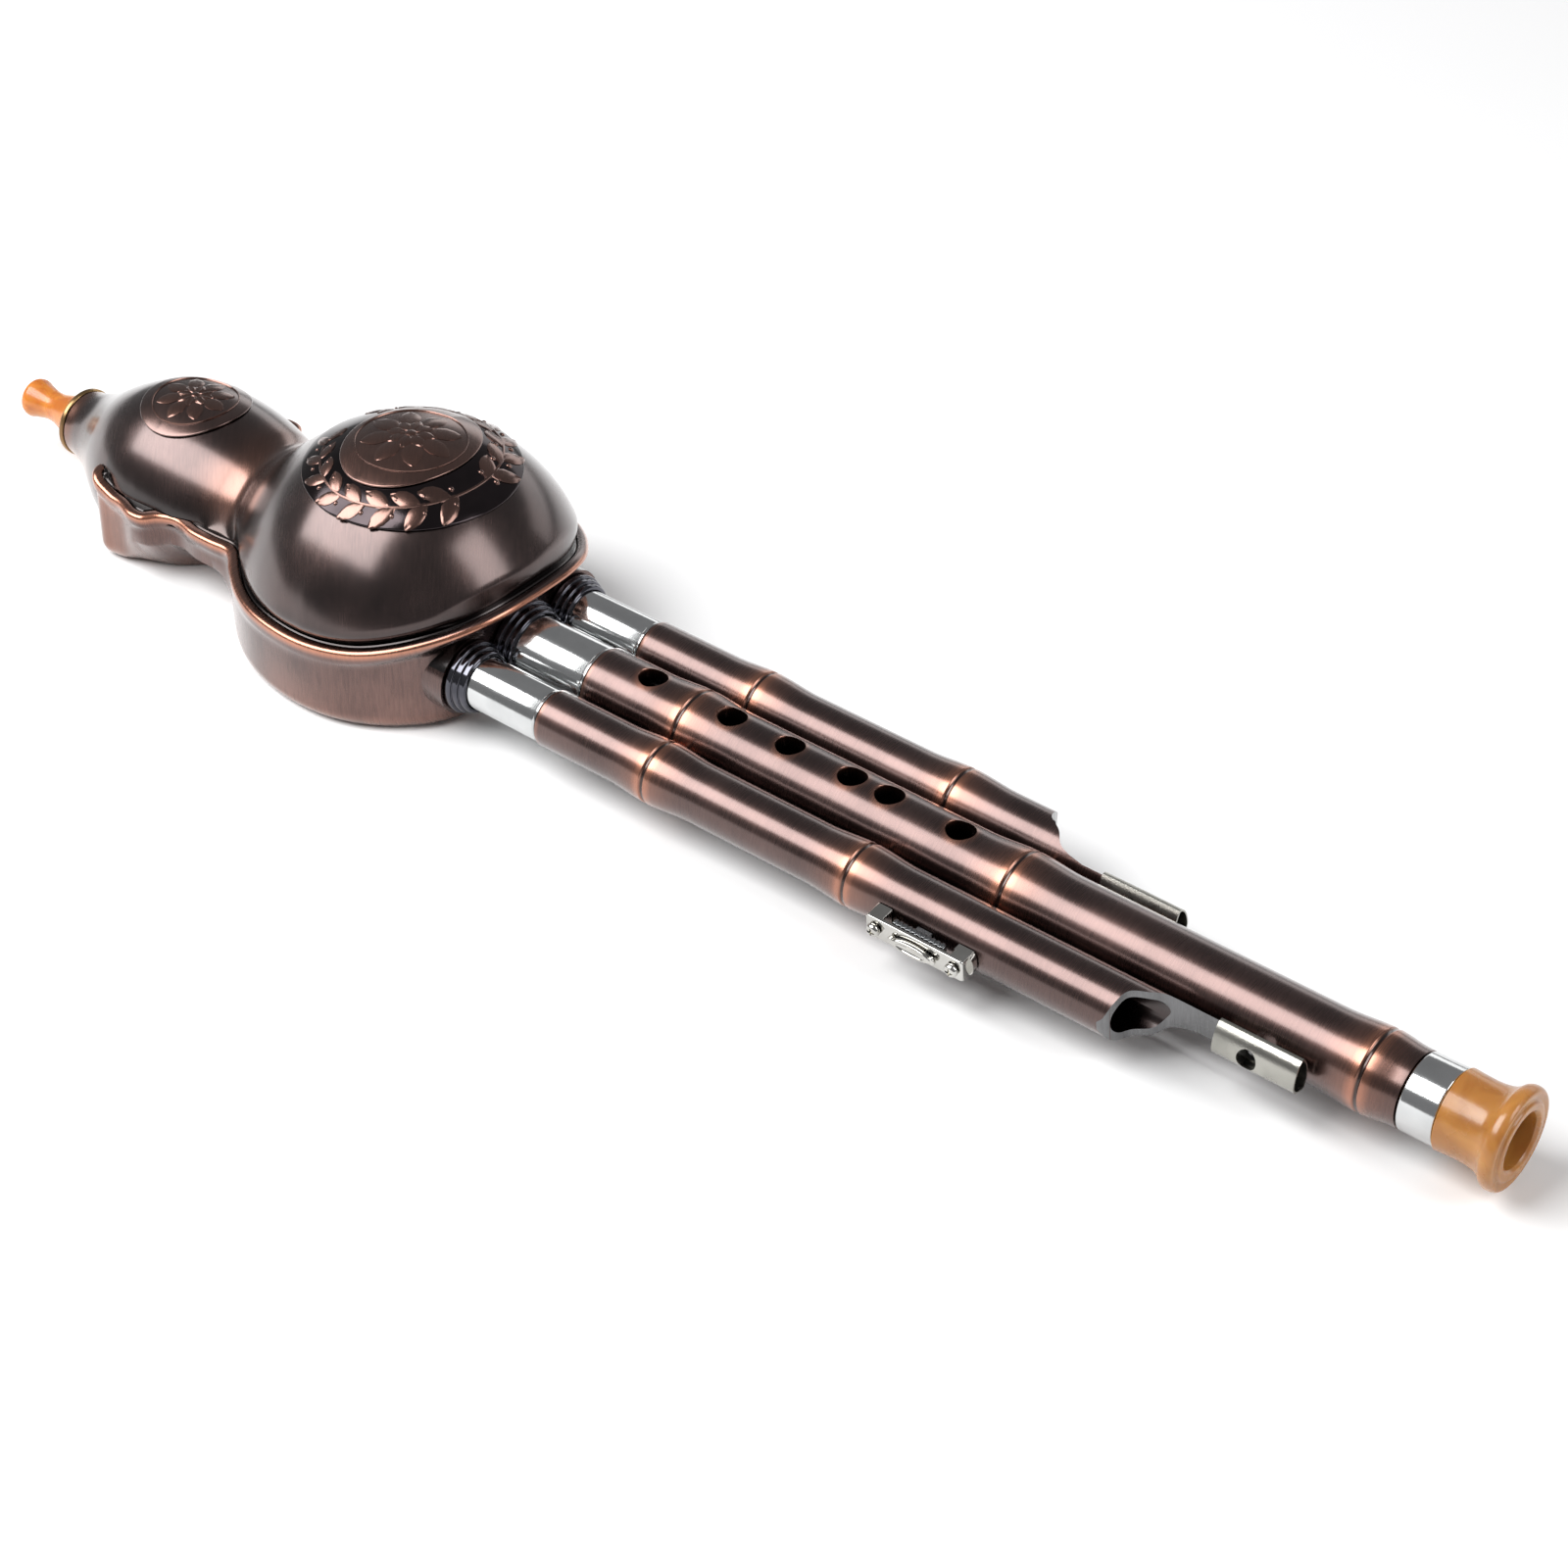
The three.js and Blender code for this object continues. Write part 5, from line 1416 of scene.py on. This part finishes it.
@dataclass
class Medallions:
    """The round plates on the bulb and the dome, with a laurel wreath, an oval boss and plain rosettes."""

    form: GourdForm
    wreath_x: float = 19.5
    wreath_y: float = 21.0
    petals: int = 8

    def cap(self, name: str, x: float, half: Sequence, low: float, high: float, edge: float) -> Obj:
        """Builds a plate that follows the shell.

        Args:
            name: Name of the plate.
            x: Its middle along the gourd.
            half: Half its length and half its width.
            low: Its underside over the shell.
            high: Its top over the shell.
            edge: Size of its rounded edge.

        Returns:
            The plate.
        """
        plan = oval(*half, sides=160)
        shares = np.linspace(0.0, 1.0, 24)[:-1]
        turns = np.linspace(0.0, QUARTER, 6)
        levels = [(share, low) for share in (*shares[::3], 1.0)]
        levels += [(1 - edge * (1 - math.cos(a)) / half[0], high - edge * (1 - math.sin(a))) for a in turns]
        levels += [(share * (1 - 1.6 * edge / half[0]), high) for share in shares[::-1]]
        return lofted(name, [self.form.over(x + plan[:, 0] * share, plan[:, 1] * share, z) for share, z in levels])

    def leaf(self, length: float, width: float, rise: float) -> Obj:
        """Makes one relief leaf with a sunk middle vein, lying along +X.

        Args:
            length: Its length.
            width: Its width.
            rise: Height of its shoulders.

        Returns:
            The leaf, with its foot a little below zero.
        """
        across = [(-1.0, -0.3), (-1.0, 0.35), (-0.5, 1.0), (0.0, 0.55), (0.5, 1.0), (1.0, 0.35), (1.0, -0.3)]
        rings = []
        for share in (0.0, 0.12, 0.32, 0.55, 0.78, 0.93, 1.0):
            half = width / 2 * max(math.sin(math.pi * (share * 0.93 + 0.05)), 0.05) ** 0.75
            lift = rise * (0.5 + 0.5 * math.sin(math.pi * share))
            rings.append(np.array([(share * length, y * half, z * lift) for y, z in across]))
        return lofted("leaf", capped(rings))

    def bead(self, radius: float, rise: float) -> Obj:
        """Makes one low bead from its radius and height."""
        levels = ((0.0, -0.3), (1.0, -0.3), (1.0, 0.2), (0.75, 0.75), (0.35, 1.0), (0.0, 1.05))
        return lofted("bead", [raised(oval(radius * s, radius * s, sides=10), z * rise) for s, z in levels])

    def stem(self, half_x: float, half_y: float, start: float, sweep: float, width: float) -> Obj:
        """Makes a thin half-round stem along an oval arc.

        Args:
            half_x: Half the oval's length.
            half_y: Half the oval's width.
            start: Angle where it starts.
            sweep: Angle that it covers.
            width: Its width.

        Returns:
            The stem.
        """
        across = [(-0.5, -0.12), (-0.5, 0.1), (-0.25, 0.3), (0.25, 0.3), (0.5, 0.1), (0.5, -0.12)]
        rings = []
        for angle in np.linspace(start, start + sweep, 60):
            out = np.array([math.cos(angle), math.sin(angle)])
            rings.append(np.array([(*(out * (half_x, half_y) + out * (a * width)), z) for a, z in across]))
        return lofted("stem", rings[:-1] + rings[:1] if sweep >= TURN else capped(rings))

    def relief(self, name: str, parts: Sequence[Obj], x: float, lift: float, worn: float) -> None:
        """Joins flat parts, bends them onto the shell and dresses them.

        Args:
            name: Name of the relief.
            parts: Parts made flat round the origin.
            x: Where their middle goes along the gourd.
            lift: How far over the shell their ground lies.
            worn: How worn they are.
        """
        piece = joined(name, parts)
        p = rows(piece.data.vertices, "co")
        laid = self.form.over(p[:, 0] + x, p[:, 1], p[:, 2] + lift)
        piece.data.vertices.foreach_set("co", laid.astype(np.float32).ravel())
        piece.data.update()
        settle(piece, CHEST, Look.RELIEF, angle=35.0, wear=lambda p: np.full(len(p), worn))

    def wreath(self) -> None:
        """Builds and dresses the laurel wreath round the boss."""
        half_x, half_y = self.wreath_x, self.wreath_y
        meet, start, sweep = (math.radians(angle) for angle in (-3.0, 13.0, 138.0))
        leaf, bead = self.leaf(7.2, 3.7, 0.5), self.bead(0.65, 0.45)
        parts = []
        for way in (1.0, -1.0):
            parts.append(self.stem(half_x, half_y, meet - way * 0.07, way * (start + sweep), 0.6))
            for lean, shift in ((0.58, 0.0), (-0.58, 0.07)):
                begin = meet + way * (start + shift)
                row = Row(Look.RELIEF, 8, half_x, half_y, begin, way * sweep, lean, taper=0.3)
                parts.append(row.lay("leaves", leaf))
            for out in (1.7, -1.7):
                begin = meet + way * (start + 0.03 + 0.01 * out)
                row = Row(Look.RELIEF, 8, half_x + out, half_y + out, begin, way * (sweep - 0.1), taper=0.35)
                parts.append(row.lay("berries", bead))
        for tool in (leaf, bead):
            bpy.data.objects.remove(tool)
        self.relief("laurel_wreath", parts, self.form.dome_x, 0.9, 0.16)

    def rosette(self, name: str, x: float, lift: float, reach: float) -> None:
        """Builds and dresses a plain rosette of petals round a button.

        Args:
            name: Name of the rosette.
            x: Its middle along the gourd.
            lift: How far over the shell its ground lies.
            reach: Its radius.
        """
        parts, step = [], TURN / self.petals
        for share, size, shift, width, rise in ((0.34, 0.66, 0.0, 0.44, 0.3), (0.10, 0.40, 0.5, 0.30, 0.44)):
            petal = self.leaf(reach * size, reach * width, rise)
            ring = (reach * share, reach * share, shift * step, TURN - step, -QUARTER)
            parts.append(Row(Look.RELIEF, self.petals, *ring).lay("petals", petal))
            bpy.data.objects.remove(petal)
        parts.append(self.bead(reach * 0.13, 0.42))
        parts.append(self.stem(reach * 1.12, reach * 1.12, 0.0, TURN, 0.45))
        self.relief(name, parts, x, lift, 0.18)

    def build(self) -> None:
        """Builds every piece of the two medallions."""
        bulb, dome = self.form.bulb_x, self.form.dome_x
        upper = self.cap("bulb_medallion", bulb, (13.1, 13.1), GAP, GAP + 0.35, 0.25)
        settle(upper, CHEST, Look.RELIEF, "upper_medallion")
        lower = self.cap("dome_medallion", dome, (24.8, 24.8), GAP, GAP + 0.6, 0.3)
        settle(lower, CHEST, Look.GROUND, "lower_medallion")
        boss = self.cap("dome_boss", dome, (14.2, 17.2), 1.2, 1.52, 0.3)
        settle(boss, CHEST, Look.RELIEF, "medallion_boss", wear=lambda p: np.full(len(p), 0.12))
        self.wreath()
        self.rosette("boss_rosette", dome, 1.5, 11.0)
        self.rosette("bulb_rosette", bulb, 0.65, 9.0)


@dataclass
class Mouthpiece:
    """The amber mouthpiece with its lip, waist, flared root and tenon."""

    form: GourdForm
    shown: float = 20.0
    lip: float = 4.9
    waist: float = 3.7
    root: float = 6.8
    bore: float = 2.0
    tenon: float = 5.9

    def build(self) -> None:
        """Builds and dresses the mouthpiece."""
        tip, end, inner_end = (self.form.neck_end + x for x in (-self.shown, -GAP, 13.0))
        lip, waist, root = self.lip, self.waist, self.root
        shares = [
            (0.0, 0.80 * lip), (0.03, 0.95 * lip), (0.09, lip), (0.16, 0.92 * lip), (0.25, 1.1 * waist),
            (0.36, waist), (0.5, 1.04 * waist), (0.66, 1.28 * waist), (0.8, 0.84 * root), (0.92, root), (1.0, root),
        ]
        profile = np.vstack([
            through([(tip + 0.7, self.bore), (tip + 0.15, self.bore + 0.5), (tip, 0.80 * lip - 0.5)], 4),
            through([(tip + x * (end - tip), radius) for x, radius in shares], 5),
            [(end, self.tenon), (inner_end, self.tenon), (inner_end, self.bore)],
        ])
        piece = lathe("amber_mouthpiece", profile, 112, (0.0, 0.0, self.form.neck_axis))
        node = "mouthpiece"
        # Painted shade towards the root, where it goes into the neck.
        settle(piece, node, Look.MOUTH, node, 50.0, crease=lambda p: smoothstep(p[:, 0], end - 4.0, end) * 0.7)


@dataclass
class MelodyPipe:
    """The melody pipe with its finger holes, end ring and bell."""

    hole_radius: float = 3.3
    holes: tuple = (14.4, 37.2, 53.4, 70.5, 80.6, 99.5)
    thumb_place: float = 5.4
    thumb_radius: float = 2.5
    counterbore: float = 10.0
    ring_length: float = 8.2
    bell_length: float = 14.99
    bell_lip: float = 11.45

    BELL = (
        (0, 0.785), (0.2, 0.772), (0.42, 0.77), (0.62, 0.82), (0.72, 0.9), (0.775, 0.97), (0.85, 1),
        (0.93, 0.985), (0.965, 0.945), (0.972, 0.9),
    )

    def finger_drill(self, x: float, radius: float, up: float) -> Obj:
        """Makes a drill whose top flares where it leaves the pipe's crown.

        Args:
            x: Place along the pipe.
            radius: Its radius.
            up: 1 to drill the top, -1 to drill the underside.

        Returns:
            The drill.
        """
        crown = MAIN.radius
        drill = lathe("drill", [
            (0.0, 0.0), (0.0, radius), (crown - 0.55, radius), (crown - 0.2, radius + 0.1),
            (crown + 0.1, radius + 0.35), (crown + 3.0, radius + 0.6), (crown + 3.0, 0.0),
        ], 64)
        return move(drill, Matrix.Translation((x, 0.0, 0.0)) @ Matrix.Rotation(-up * QUARTER, 4, "Y"))

    def build(self) -> None:
        """Builds and dresses the pipe, its ring and its bell."""
        wide = MAIN.bore + 1.3
        carve(pipe := MAIN.blank(), [
            *(self.finger_drill(x, self.hole_radius, 1.0) for x in self.holes),
            self.finger_drill(self.thumb_place, self.thumb_radius, -1.0),
            rod(MAIN.length - self.counterbore, MAIN.length + OVERRUN, wide),
        ], Cut.TAKE)
        MAIN.dress(pipe, "main_pipe", self.holes, self.hole_radius + 0.2)
        start = MAIN.length + GAP
        end, outer = start + self.ring_length, MAIN.radius
        profile = rounded([(start, wide), (start, outer, 0.45), (end, outer, 0.45), (end, wide)])
        settle(lathe("chrome_end_ring", profile), MAIN.body, Look.CHROME, "main_end_ring", 50.0)
        self.bell(end + GAP)

    def bell(self, start: float) -> None:
        """Builds and dresses the amber bell with its rolled lip and stepped face.

        Args:
            start: Where it begins.
        """
        length, lip, bore, tenon = self.bell_length, self.bell_lip, MAIN.bore, MAIN.bore + 1.0
        face = rounded([
            (start + 0.972 * length, 0.89 * lip),
            (start + 0.955 * length, 0.775 * lip, 0.5),
            (start + length, 0.745 * lip, 0.45),
            (start + length, 0.61 * lip, 0.3),
            (start + 0.95 * length, bore, 0.2),
        ])[:-1]
        deep = MAIN.length - self.counterbore + GAP
        bell = lathe("amber_bell", np.vstack([
            [(deep, bore), (deep, tenon), (start, tenon), (start, 0.77 * lip)],
            through([(start + x * length, radius * lip) for x, radius in self.BELL], 5),
            face,
            [(start + 0.9 * length, bore)],
        ]), 144)
        # Painted shade at the bell's foot, next to the end ring.
        settle(bell, MAIN.body, Look.HORN, "main_bell", 45.0, crease=lambda p: 0.6 * hump(p[:, 0] - start, 0.6))


@dataclass
class Drone:
    """A drone pipe with its scarf-cut end and cord sleeve."""

    pipe: Pipe
    scarf_turn: float
    valve_turn: float
    valve_place: float
    scarf_length: float = 37.8
    tongue: float = 1.0
    sleeve_length: float = 19.5
    sleeve_wall: float = 0.4
    sleeve_bulge: float = 2.7
    sleeve_past: float = 3.5
    cord_hole_radius: float = 2.3
    valve_holes: tuple = ((-1.7, 1.3), (-10.1, 1.1), (10.1, 1.1))

    SCARF = (
        (0, 0), (0.043, 0.05), (0.07, 0.236), (0.103, 0.52), (0.2, 0.72), (0.257, 0.9), (0.32, 0.96), (0.43, 1),
    )

    def frame(self, turn: float) -> Matrix:
        """Gives the move from a drone's own frame, where +Y points outwards, to its place, turned by degrees."""
        return Matrix.Translation(self.pipe.place) @ Matrix.Rotation(math.radians(turn), 4, "X")

    def scarf(self) -> Obj:
        """Makes the cutter that leaves only a tongue of the pipe's end.

        Returns:
            The cutter.
        """
        radius, end = self.pipe.radius, self.pipe.length
        start, depth, half = end - self.scarf_length, 2 * radius - self.tongue, 2 * radius
        curve = through([(start + x * self.scarf_length, radius - y * depth) for x, y in self.SCARF], 8)
        high, far = radius + OVERRUN, end + OVERRUN
        outline = np.vstack([[(start, high)], curve, [(far, radius - depth), (far, high)]])
        cutter = linked("scarf", bpy.data.meshes.new("scarf"))
        with opened(cutter) as work:
            low, top = ([work.verts.new((x, y, z)) for x, y in outline] for z in (-half, half))
            work.faces.new(low[::-1])
            work.faces.new(top)
            for i in range(len(outline)):
                k = (i + 1) % len(outline)
                work.faces.new((low[i], low[k], top[k], top[i]))
            bmesh.ops.recalc_face_normals(work, faces=work.faces)
            bmesh.ops.triangulate(work, faces=work.faces)
        return move(cutter, self.frame(self.scarf_turn))

    def drill(self, turn: float, x: float, radius: float, low: float) -> Obj:
        """Makes a round drill through the drone's wall.

        Args:
            turn: Turn of its frame about the pipe, in degrees.
            x: Place along the pipe.
            radius: Its radius.
            low: Where it starts, outwards of the axis.

        Returns:
            The drill.
        """
        stand = Matrix.Translation((x, 0.0, 0.0)) @ Matrix.Rotation(QUARTER, 4, "Z")
        return move(rod(low, 2 * self.pipe.radius, radius, sides=48), self.frame(turn) @ stand)

    def cord_hole(self) -> Obj:
        """Makes the drill for the cord hole in tongue and sleeve."""
        place = self.pipe.length + self.sleeve_past - 0.58 * self.sleeve_length
        return self.drill(self.scarf_turn, place, self.cord_hole_radius, -2 * self.pipe.radius)

    def sleeve_outline(self, grow: float) -> Array:
        """Gives the sleeve's outline across the pipe.

        Args:
            grow: How far it lies outside its hollow.

        Returns:
            The outline's points, as outwards and across.
        """
        radius, edge_at = self.pipe.radius, self.pipe.radius - self.tongue
        inner, edge = radius + GAP + grow, edge_at - GAP
        half = math.sqrt(radius**2 - edge_at**2) + GAP + grow
        spread, shoulder = math.asin(half / inner), half * 0.8
        angles = np.linspace(-QUARTER - spread, -QUARTER + spread, 33)
        slope = 0.3 * math.copysign(1.0, self.pipe.side)
        crown, left, right = (
            np.array((x, self.sleeve_bulge + grow - edge + slope * x)) for x in (0.0, -shoulder, shoulder)
        )
        start, end = np.array((half, -edge)), np.array((-half, -edge))
        shares = np.linspace(0.0, 1.0, 17)[1:, None]
        back = np.column_stack([inner * np.cos(angles), inner * np.sin(angles)])
        return np.vstack([back, start, bow(start, right, crown, shares), bow(crown, left, end, shares)])

    def sleeve_bar(self, name: str, grow: float, start: float, end: float, edge: float) -> Obj:
        """Draws the sleeve's outline out along the pipe.

        Args:
            name: Name of the bar.
            grow: How far it lies outside the sleeve's hollow.
            start: Its lower end.
            end: Its upper end.
            edge: Size of its chamfers.

        Returns:
            The bar.
        """
        outline = self.sleeve_outline(grow)
        middle = outline.mean(axis=0)
        slim = 1 - edge
        levels = ((0.0, start), (slim, start), (1.0, start + edge), (1.0, end - edge), (slim, end), (0.0, end))
        flats = [(middle + (outline - middle) * share, x) for share, x in levels]
        rings = [np.column_stack([np.full(len(flat), x), flat[:, 1], -flat[:, 0]]) for flat, x in flats]
        return move(lofted(name, rings), self.frame(self.scarf_turn))

    def build(self) -> None:
        """Builds and dresses the drone and its sleeve."""
        pipe, name = self.pipe, self.pipe.name
        cuts = [self.scarf(), self.cord_hole()]
        cuts += [self.drill(self.valve_turn, self.valve_place + x, radius, 0.0) for x, radius in self.valve_holes]
        drone = carve(pipe.blank(), cuts, Cut.TAKE)
        paint(drone, "bare", self.cut_face, faces=True)
        pipe.dress(drone, f"{name}_drone_pipe")
        end = pipe.length + self.sleeve_past
        start = end - self.sleeve_length
        sleeve = self.sleeve_bar(f"{name}_nickel_sleeve", self.sleeve_wall, start, end, 0.05)
        hollow = self.sleeve_bar("hollow", 0.0, start - OVERRUN, end + OVERRUN, 0.0)
        carve(sleeve, [hollow, self.cord_hole()], Cut.TAKE)
        settle(sleeve, pipe.body, Look.NICKEL, f"{name}_cord_sleeve", 40.0)

    def cut_face(self, middles: Array, _: Array) -> Array:
        """Tells which faces belong to the scarf cut, where the bare metal shows."""
        away, along = self.pipe.from_axis(middles), middles[:, 0] > self.pipe.length - self.scarf_length - 0.5
        return along & (away < self.pipe.radius - 0.06) & (away > self.pipe.bore + 0.03)


@dataclass
class Valve:
    """A drone's slide valve: plate on two posts, ribbed bar, thumbpiece, felt pad and two screws."""

    drone: Drone
    width: float = 5.6
    post: float = 3.0
    plate: float = 1.0
    screw_at: float = 10.1
    screw_hole: float = 1.1
    reach: float = 12.5
    tab_reach: float = 13.5
    bar_length: float = 13.2
    bar_thickness: float = 1.3
    ribs: int = 11
    travel: float = 3.4
    stem_length: float = 5.6
    thumb_length: float = 12.2
    thumb_width: float = 3.2
    stud: float = 0.9

    def __post_init__(self) -> None:
        """Works out the name, the bodies and the heights over the drone's axis."""
        self.name, self.body = self.drone.pipe.name, self.drone.pipe.body
        self.slider = f"{self.name}_valve_slider"
        self.under = self.drone.pipe.radius + self.post
        self.top = self.under + self.plate

    def stand(self, obj: Obj, body: str, look: Look, node: str) -> None:
        """Moves a piece made flat, outwards along +Z, to its place on the drone, and dresses it.

        Args:
            obj: The piece.
            body: Body that it rides on.
            look: Its finish.
            node: CAD node that it stands for, without the drone's name.
        """
        upright = Matrix.Rotation(-QUARTER, 4, "X")
        along = Matrix.Translation((self.drone.valve_place, 0.0, 0.0))
        move(obj, self.drone.frame(self.drone.valve_turn) @ along @ upright)
        settle(obj, body, look, f"{self.name}_{node}", 35.0)

    def base(self) -> None:
        """Builds and dresses the posts with the slotted plate and the rounded tab."""
        half, window, reach = self.width / 2, (self.bar_length + self.travel) / 2 + GAP, self.reach
        name = f"{self.name}_nickel_valve"
        piece = prism(name, plate(-reach, reach, -half, half, 0.9), self.under, self.top, 0.28)
        ends = ((-reach, -window), (window, reach))
        joins = [prism("post", plate(a, b, -half, half, 0.6), 0.5, self.under + 0.5) for a, b in ends]
        far = self.tab_reach
        tab = rounded([(window, -half), (far, -half, 2.7), (far, half, 2.7), (window, half)], 12)
        joins.append(prism("tab", tab, 0.4, self.drone.pipe.radius + 1.6))
        carve(piece, joins, Cut.JOIN)
        slot = (self.stem_length + self.travel) / 2 + GAP
        carve(piece, [
            rod(-25.0, 25.0, self.drone.pipe.radius + GAP),
            prism("slot", plate(-slot, slot, -1.1, 1.1, 1.0), 0.0, self.top + OVERRUN),
            *(prism("hole", oval(self.screw_hole, self.screw_hole, (x, 0.0), 32), 0.0, self.top + OVERRUN)
              for x in (-self.screw_at, self.screw_at)),
        ], Cut.TAKE)
        self.stand(piece, self.body, Look.BRIGHT, "valve_base")

    def bar(self) -> None:
        """Builds and dresses the ribbed bar that slides between the posts."""
        top, half, side = self.under - GAP, self.bar_length / 2, self.width / 2
        low, pitch = top - self.bar_thickness, self.bar_length / self.ribs
        core = plate(-half, half, 0.25 - side, side - 0.25, 0.3)
        piece = prism(f"{self.name}_ribbed_bar", core, low, top, 0.15)
        rib = prism("rib", plate(-pitch * 0.3, pitch * 0.3, -side, side, 0.1), low, top, 0.12)
        laid = Row(Look.STEEL, self.ribs, pitch=pitch).lay("ribs", rib)
        bpy.data.objects.remove(rib)
        carve(piece, [move(laid, Matrix.Translation((pitch / 2 - half, 0.0, 0.0)))], Cut.JOIN)
        self.stand(piece, self.slider, Look.STEEL, "valve_bar")

    def thumbpiece(self) -> None:
        """Builds and dresses the dished oval thumbpiece with its studs and stem."""
        low, stem, stud = self.top + GAP, self.stem_length / 2, self.stud
        high, half = low + 1.2, self.thumb_length / 2 - stud
        piece = prism(f"{self.name}_nickel_thumbpiece", oval(half, self.thumb_width / 2), low, high, 0.3)
        carve(piece, [
            prism("stem", plate(-stem, stem, -0.8, 0.8, 0.6), self.under, low + 0.5),
            *(prism("stud", oval(stud, stud, (x, 0.0), 32), low, high - 0.2, 0.25) for x in (-half, half)),
        ], Cut.JOIN)
        angles = np.linspace(0.0, math.pi, 13)
        dish = lathe("dish", np.column_stack([-np.cos(angles), np.sin(angles)]), 48)
        size = Matrix.Diagonal((half * 0.72, self.thumb_width * 0.36, 0.72, 1.0))
        carve(piece, [move(dish, Matrix.Translation((0.0, 0.0, high)) @ size)], Cut.TAKE)
        self.stand(piece, self.slider, Look.BRIGHT, "valve_thumbpiece")

    def screws(self) -> None:
        """Builds and dresses the two pan-head screws with crossed recesses."""
        seat, tip = self.top + GAP, self.drone.pipe.bore + GAP
        head = through([(seat + 0.1, 1.6), (seat + 0.5, 1.58), (seat + 1.1, 1.28), (seat + 1.36, 0.64)], 4)
        shank = [(tip, 0.0), (tip + 0.3, 0.8), (seat, 0.8), (seat, 1.5)]
        profile = np.vstack([shank, head, [(seat + 1.4, 0.0)]])
        low, high = seat + 0.7, seat + 3.0
        for end, x in (("upper", -self.screw_at), ("lower", self.screw_at)):
            screw = lathe(f"{self.name}_screw_{end}", profile, 48)
            move(screw, Matrix.Translation((x, 0.0, 0.0)) @ Matrix.Rotation(-QUARTER, 4, "Y"))
            arms = [block((x - a, -b, low), (x + a, b, high)) for a, b in ((0.95, 0.24), (0.24, 0.95))]
            carve(screw, arms, Cut.TAKE)
            self.stand(screw, self.body, Look.BRIGHT, f"valve_screw_{end}")

    def build(self) -> None:
        """Builds every piece of the valve."""
        for step in (self.base, self.bar, self.thumbpiece, self.screws):
            step()
        dress_node(f"{self.name}_valve_pad", Look.FELT)


@dataclass
class Studio:
    """Pale floor, soft lights and the camera."""

    eye: tuple = (0.4304, -0.5080, 0.5073)
    azimuth: float = 38.36
    elevation: float = 37.51
    roll: float = 0.96
    lens: float = 85.83
    floor_half: float = 6.0
    floor_drop: float = -0.0004
    world_light: float = 0.23

    def floor(self) -> None:
        """Lays the pale floor."""
        mesh = bpy.data.meshes.new("floor")
        corners = [(x * self.floor_half, y * self.floor_half) for x, y in ((-1, -1), (1, -1), (1, 1), (-1, 1))]
        mesh.from_pydata([(x, y, self.floor_drop) for x, y in corners], [], [(0, 1, 2, 3)])
        mesh.materials.append(PaleFloor("pale_floor", "").build())
        linked("floor", mesh)

    def lamp(self, name: str, place: Sequence, turn: Sequence, size: Sequence, power: float) -> None:
        """Hangs one soft area light.

        Args:
            name: Its name.
            place: Where it hangs.
            turn: Its turn about X and then about Z, in degrees; unturned, it points down.
            size: Its width and height.
            power: Its power.
        """
        data = bpy.data.lights.new(name, "AREA")
        data.shape, data.energy = "RECTANGLE", power
        data.size, data.size_y = size
        lamp = linked(name, data)
        lamp.location = place
        lamp.rotation_euler = (math.radians(turn[0]), 0.0, math.radians(turn[1]))

    def lights(self) -> None:
        """Sets the world and hangs the lights."""
        world = bpy.data.worlds.new("studio")
        world.use_nodes = True
        colour, strength = world.node_tree.nodes["Background"].inputs[:2]
        colour.default_value, strength.default_value = (0.98, 0.98, 1.0, 1.0), self.world_light
        bpy.context.scene.world = world
        self.lamp("key_left", (-0.75, -0.58, 0.93), (33.0, 0.0), (1.5, 0.78), 27.0)
        self.lamp("fill_right", (1.0, 0.21, 0.80), (52.0, 102.0), (0.55, 0.9), 6.5)
        self.lamp("low_back", (-0.3, 1.4, 0.35), (76.0, 180.0), (2.0, 0.4), 3.0)

    def camera(self) -> None:
        """Sets the camera at the photograph's angle."""
        data = bpy.data.cameras.new("camera")
        data.lens, data.sensor_width, data.clip_start = self.lens, 36.0, 0.01
        camera = linked("camera", data)
        matrix = Matrix.Translation(self.eye)
        for angle, axis in ((self.azimuth, "Z"), (90.0 - self.elevation, "X"), (self.roll, "Z")):
            matrix = matrix @ Matrix.Rotation(math.radians(angle), 4, axis)
        camera.matrix_world = matrix
        bpy.context.scene.camera = camera

    def build(self) -> None:
        """Sets up camera, floor and lights."""
        for step in (self.camera, self.floor, self.lights):
            step()
        bpy.context.scene.view_settings.view_transform = "Standard"


def main() -> None:
    """Builds the instrument piece by piece."""
    logging.basicConfig(level=logging.INFO, format="%(name)s: %(message)s")
    form = GourdForm()
    for assembly in (Studio(), WindChest(form), Medallions(form), Mouthpiece(form), MelodyPipe()):
        assembly.build()
    for pipe in PIPES:
        pipe.ferrule()
        pipe.reed()
    for drone in (Drone(RIGHT, 189.0, 186.5, 108.7), Drone(LEFT, -3.0, -20.0, 58.5)):
        drone.build()
        Valve(drone).build()


if __name__ == "__main__":
    main()
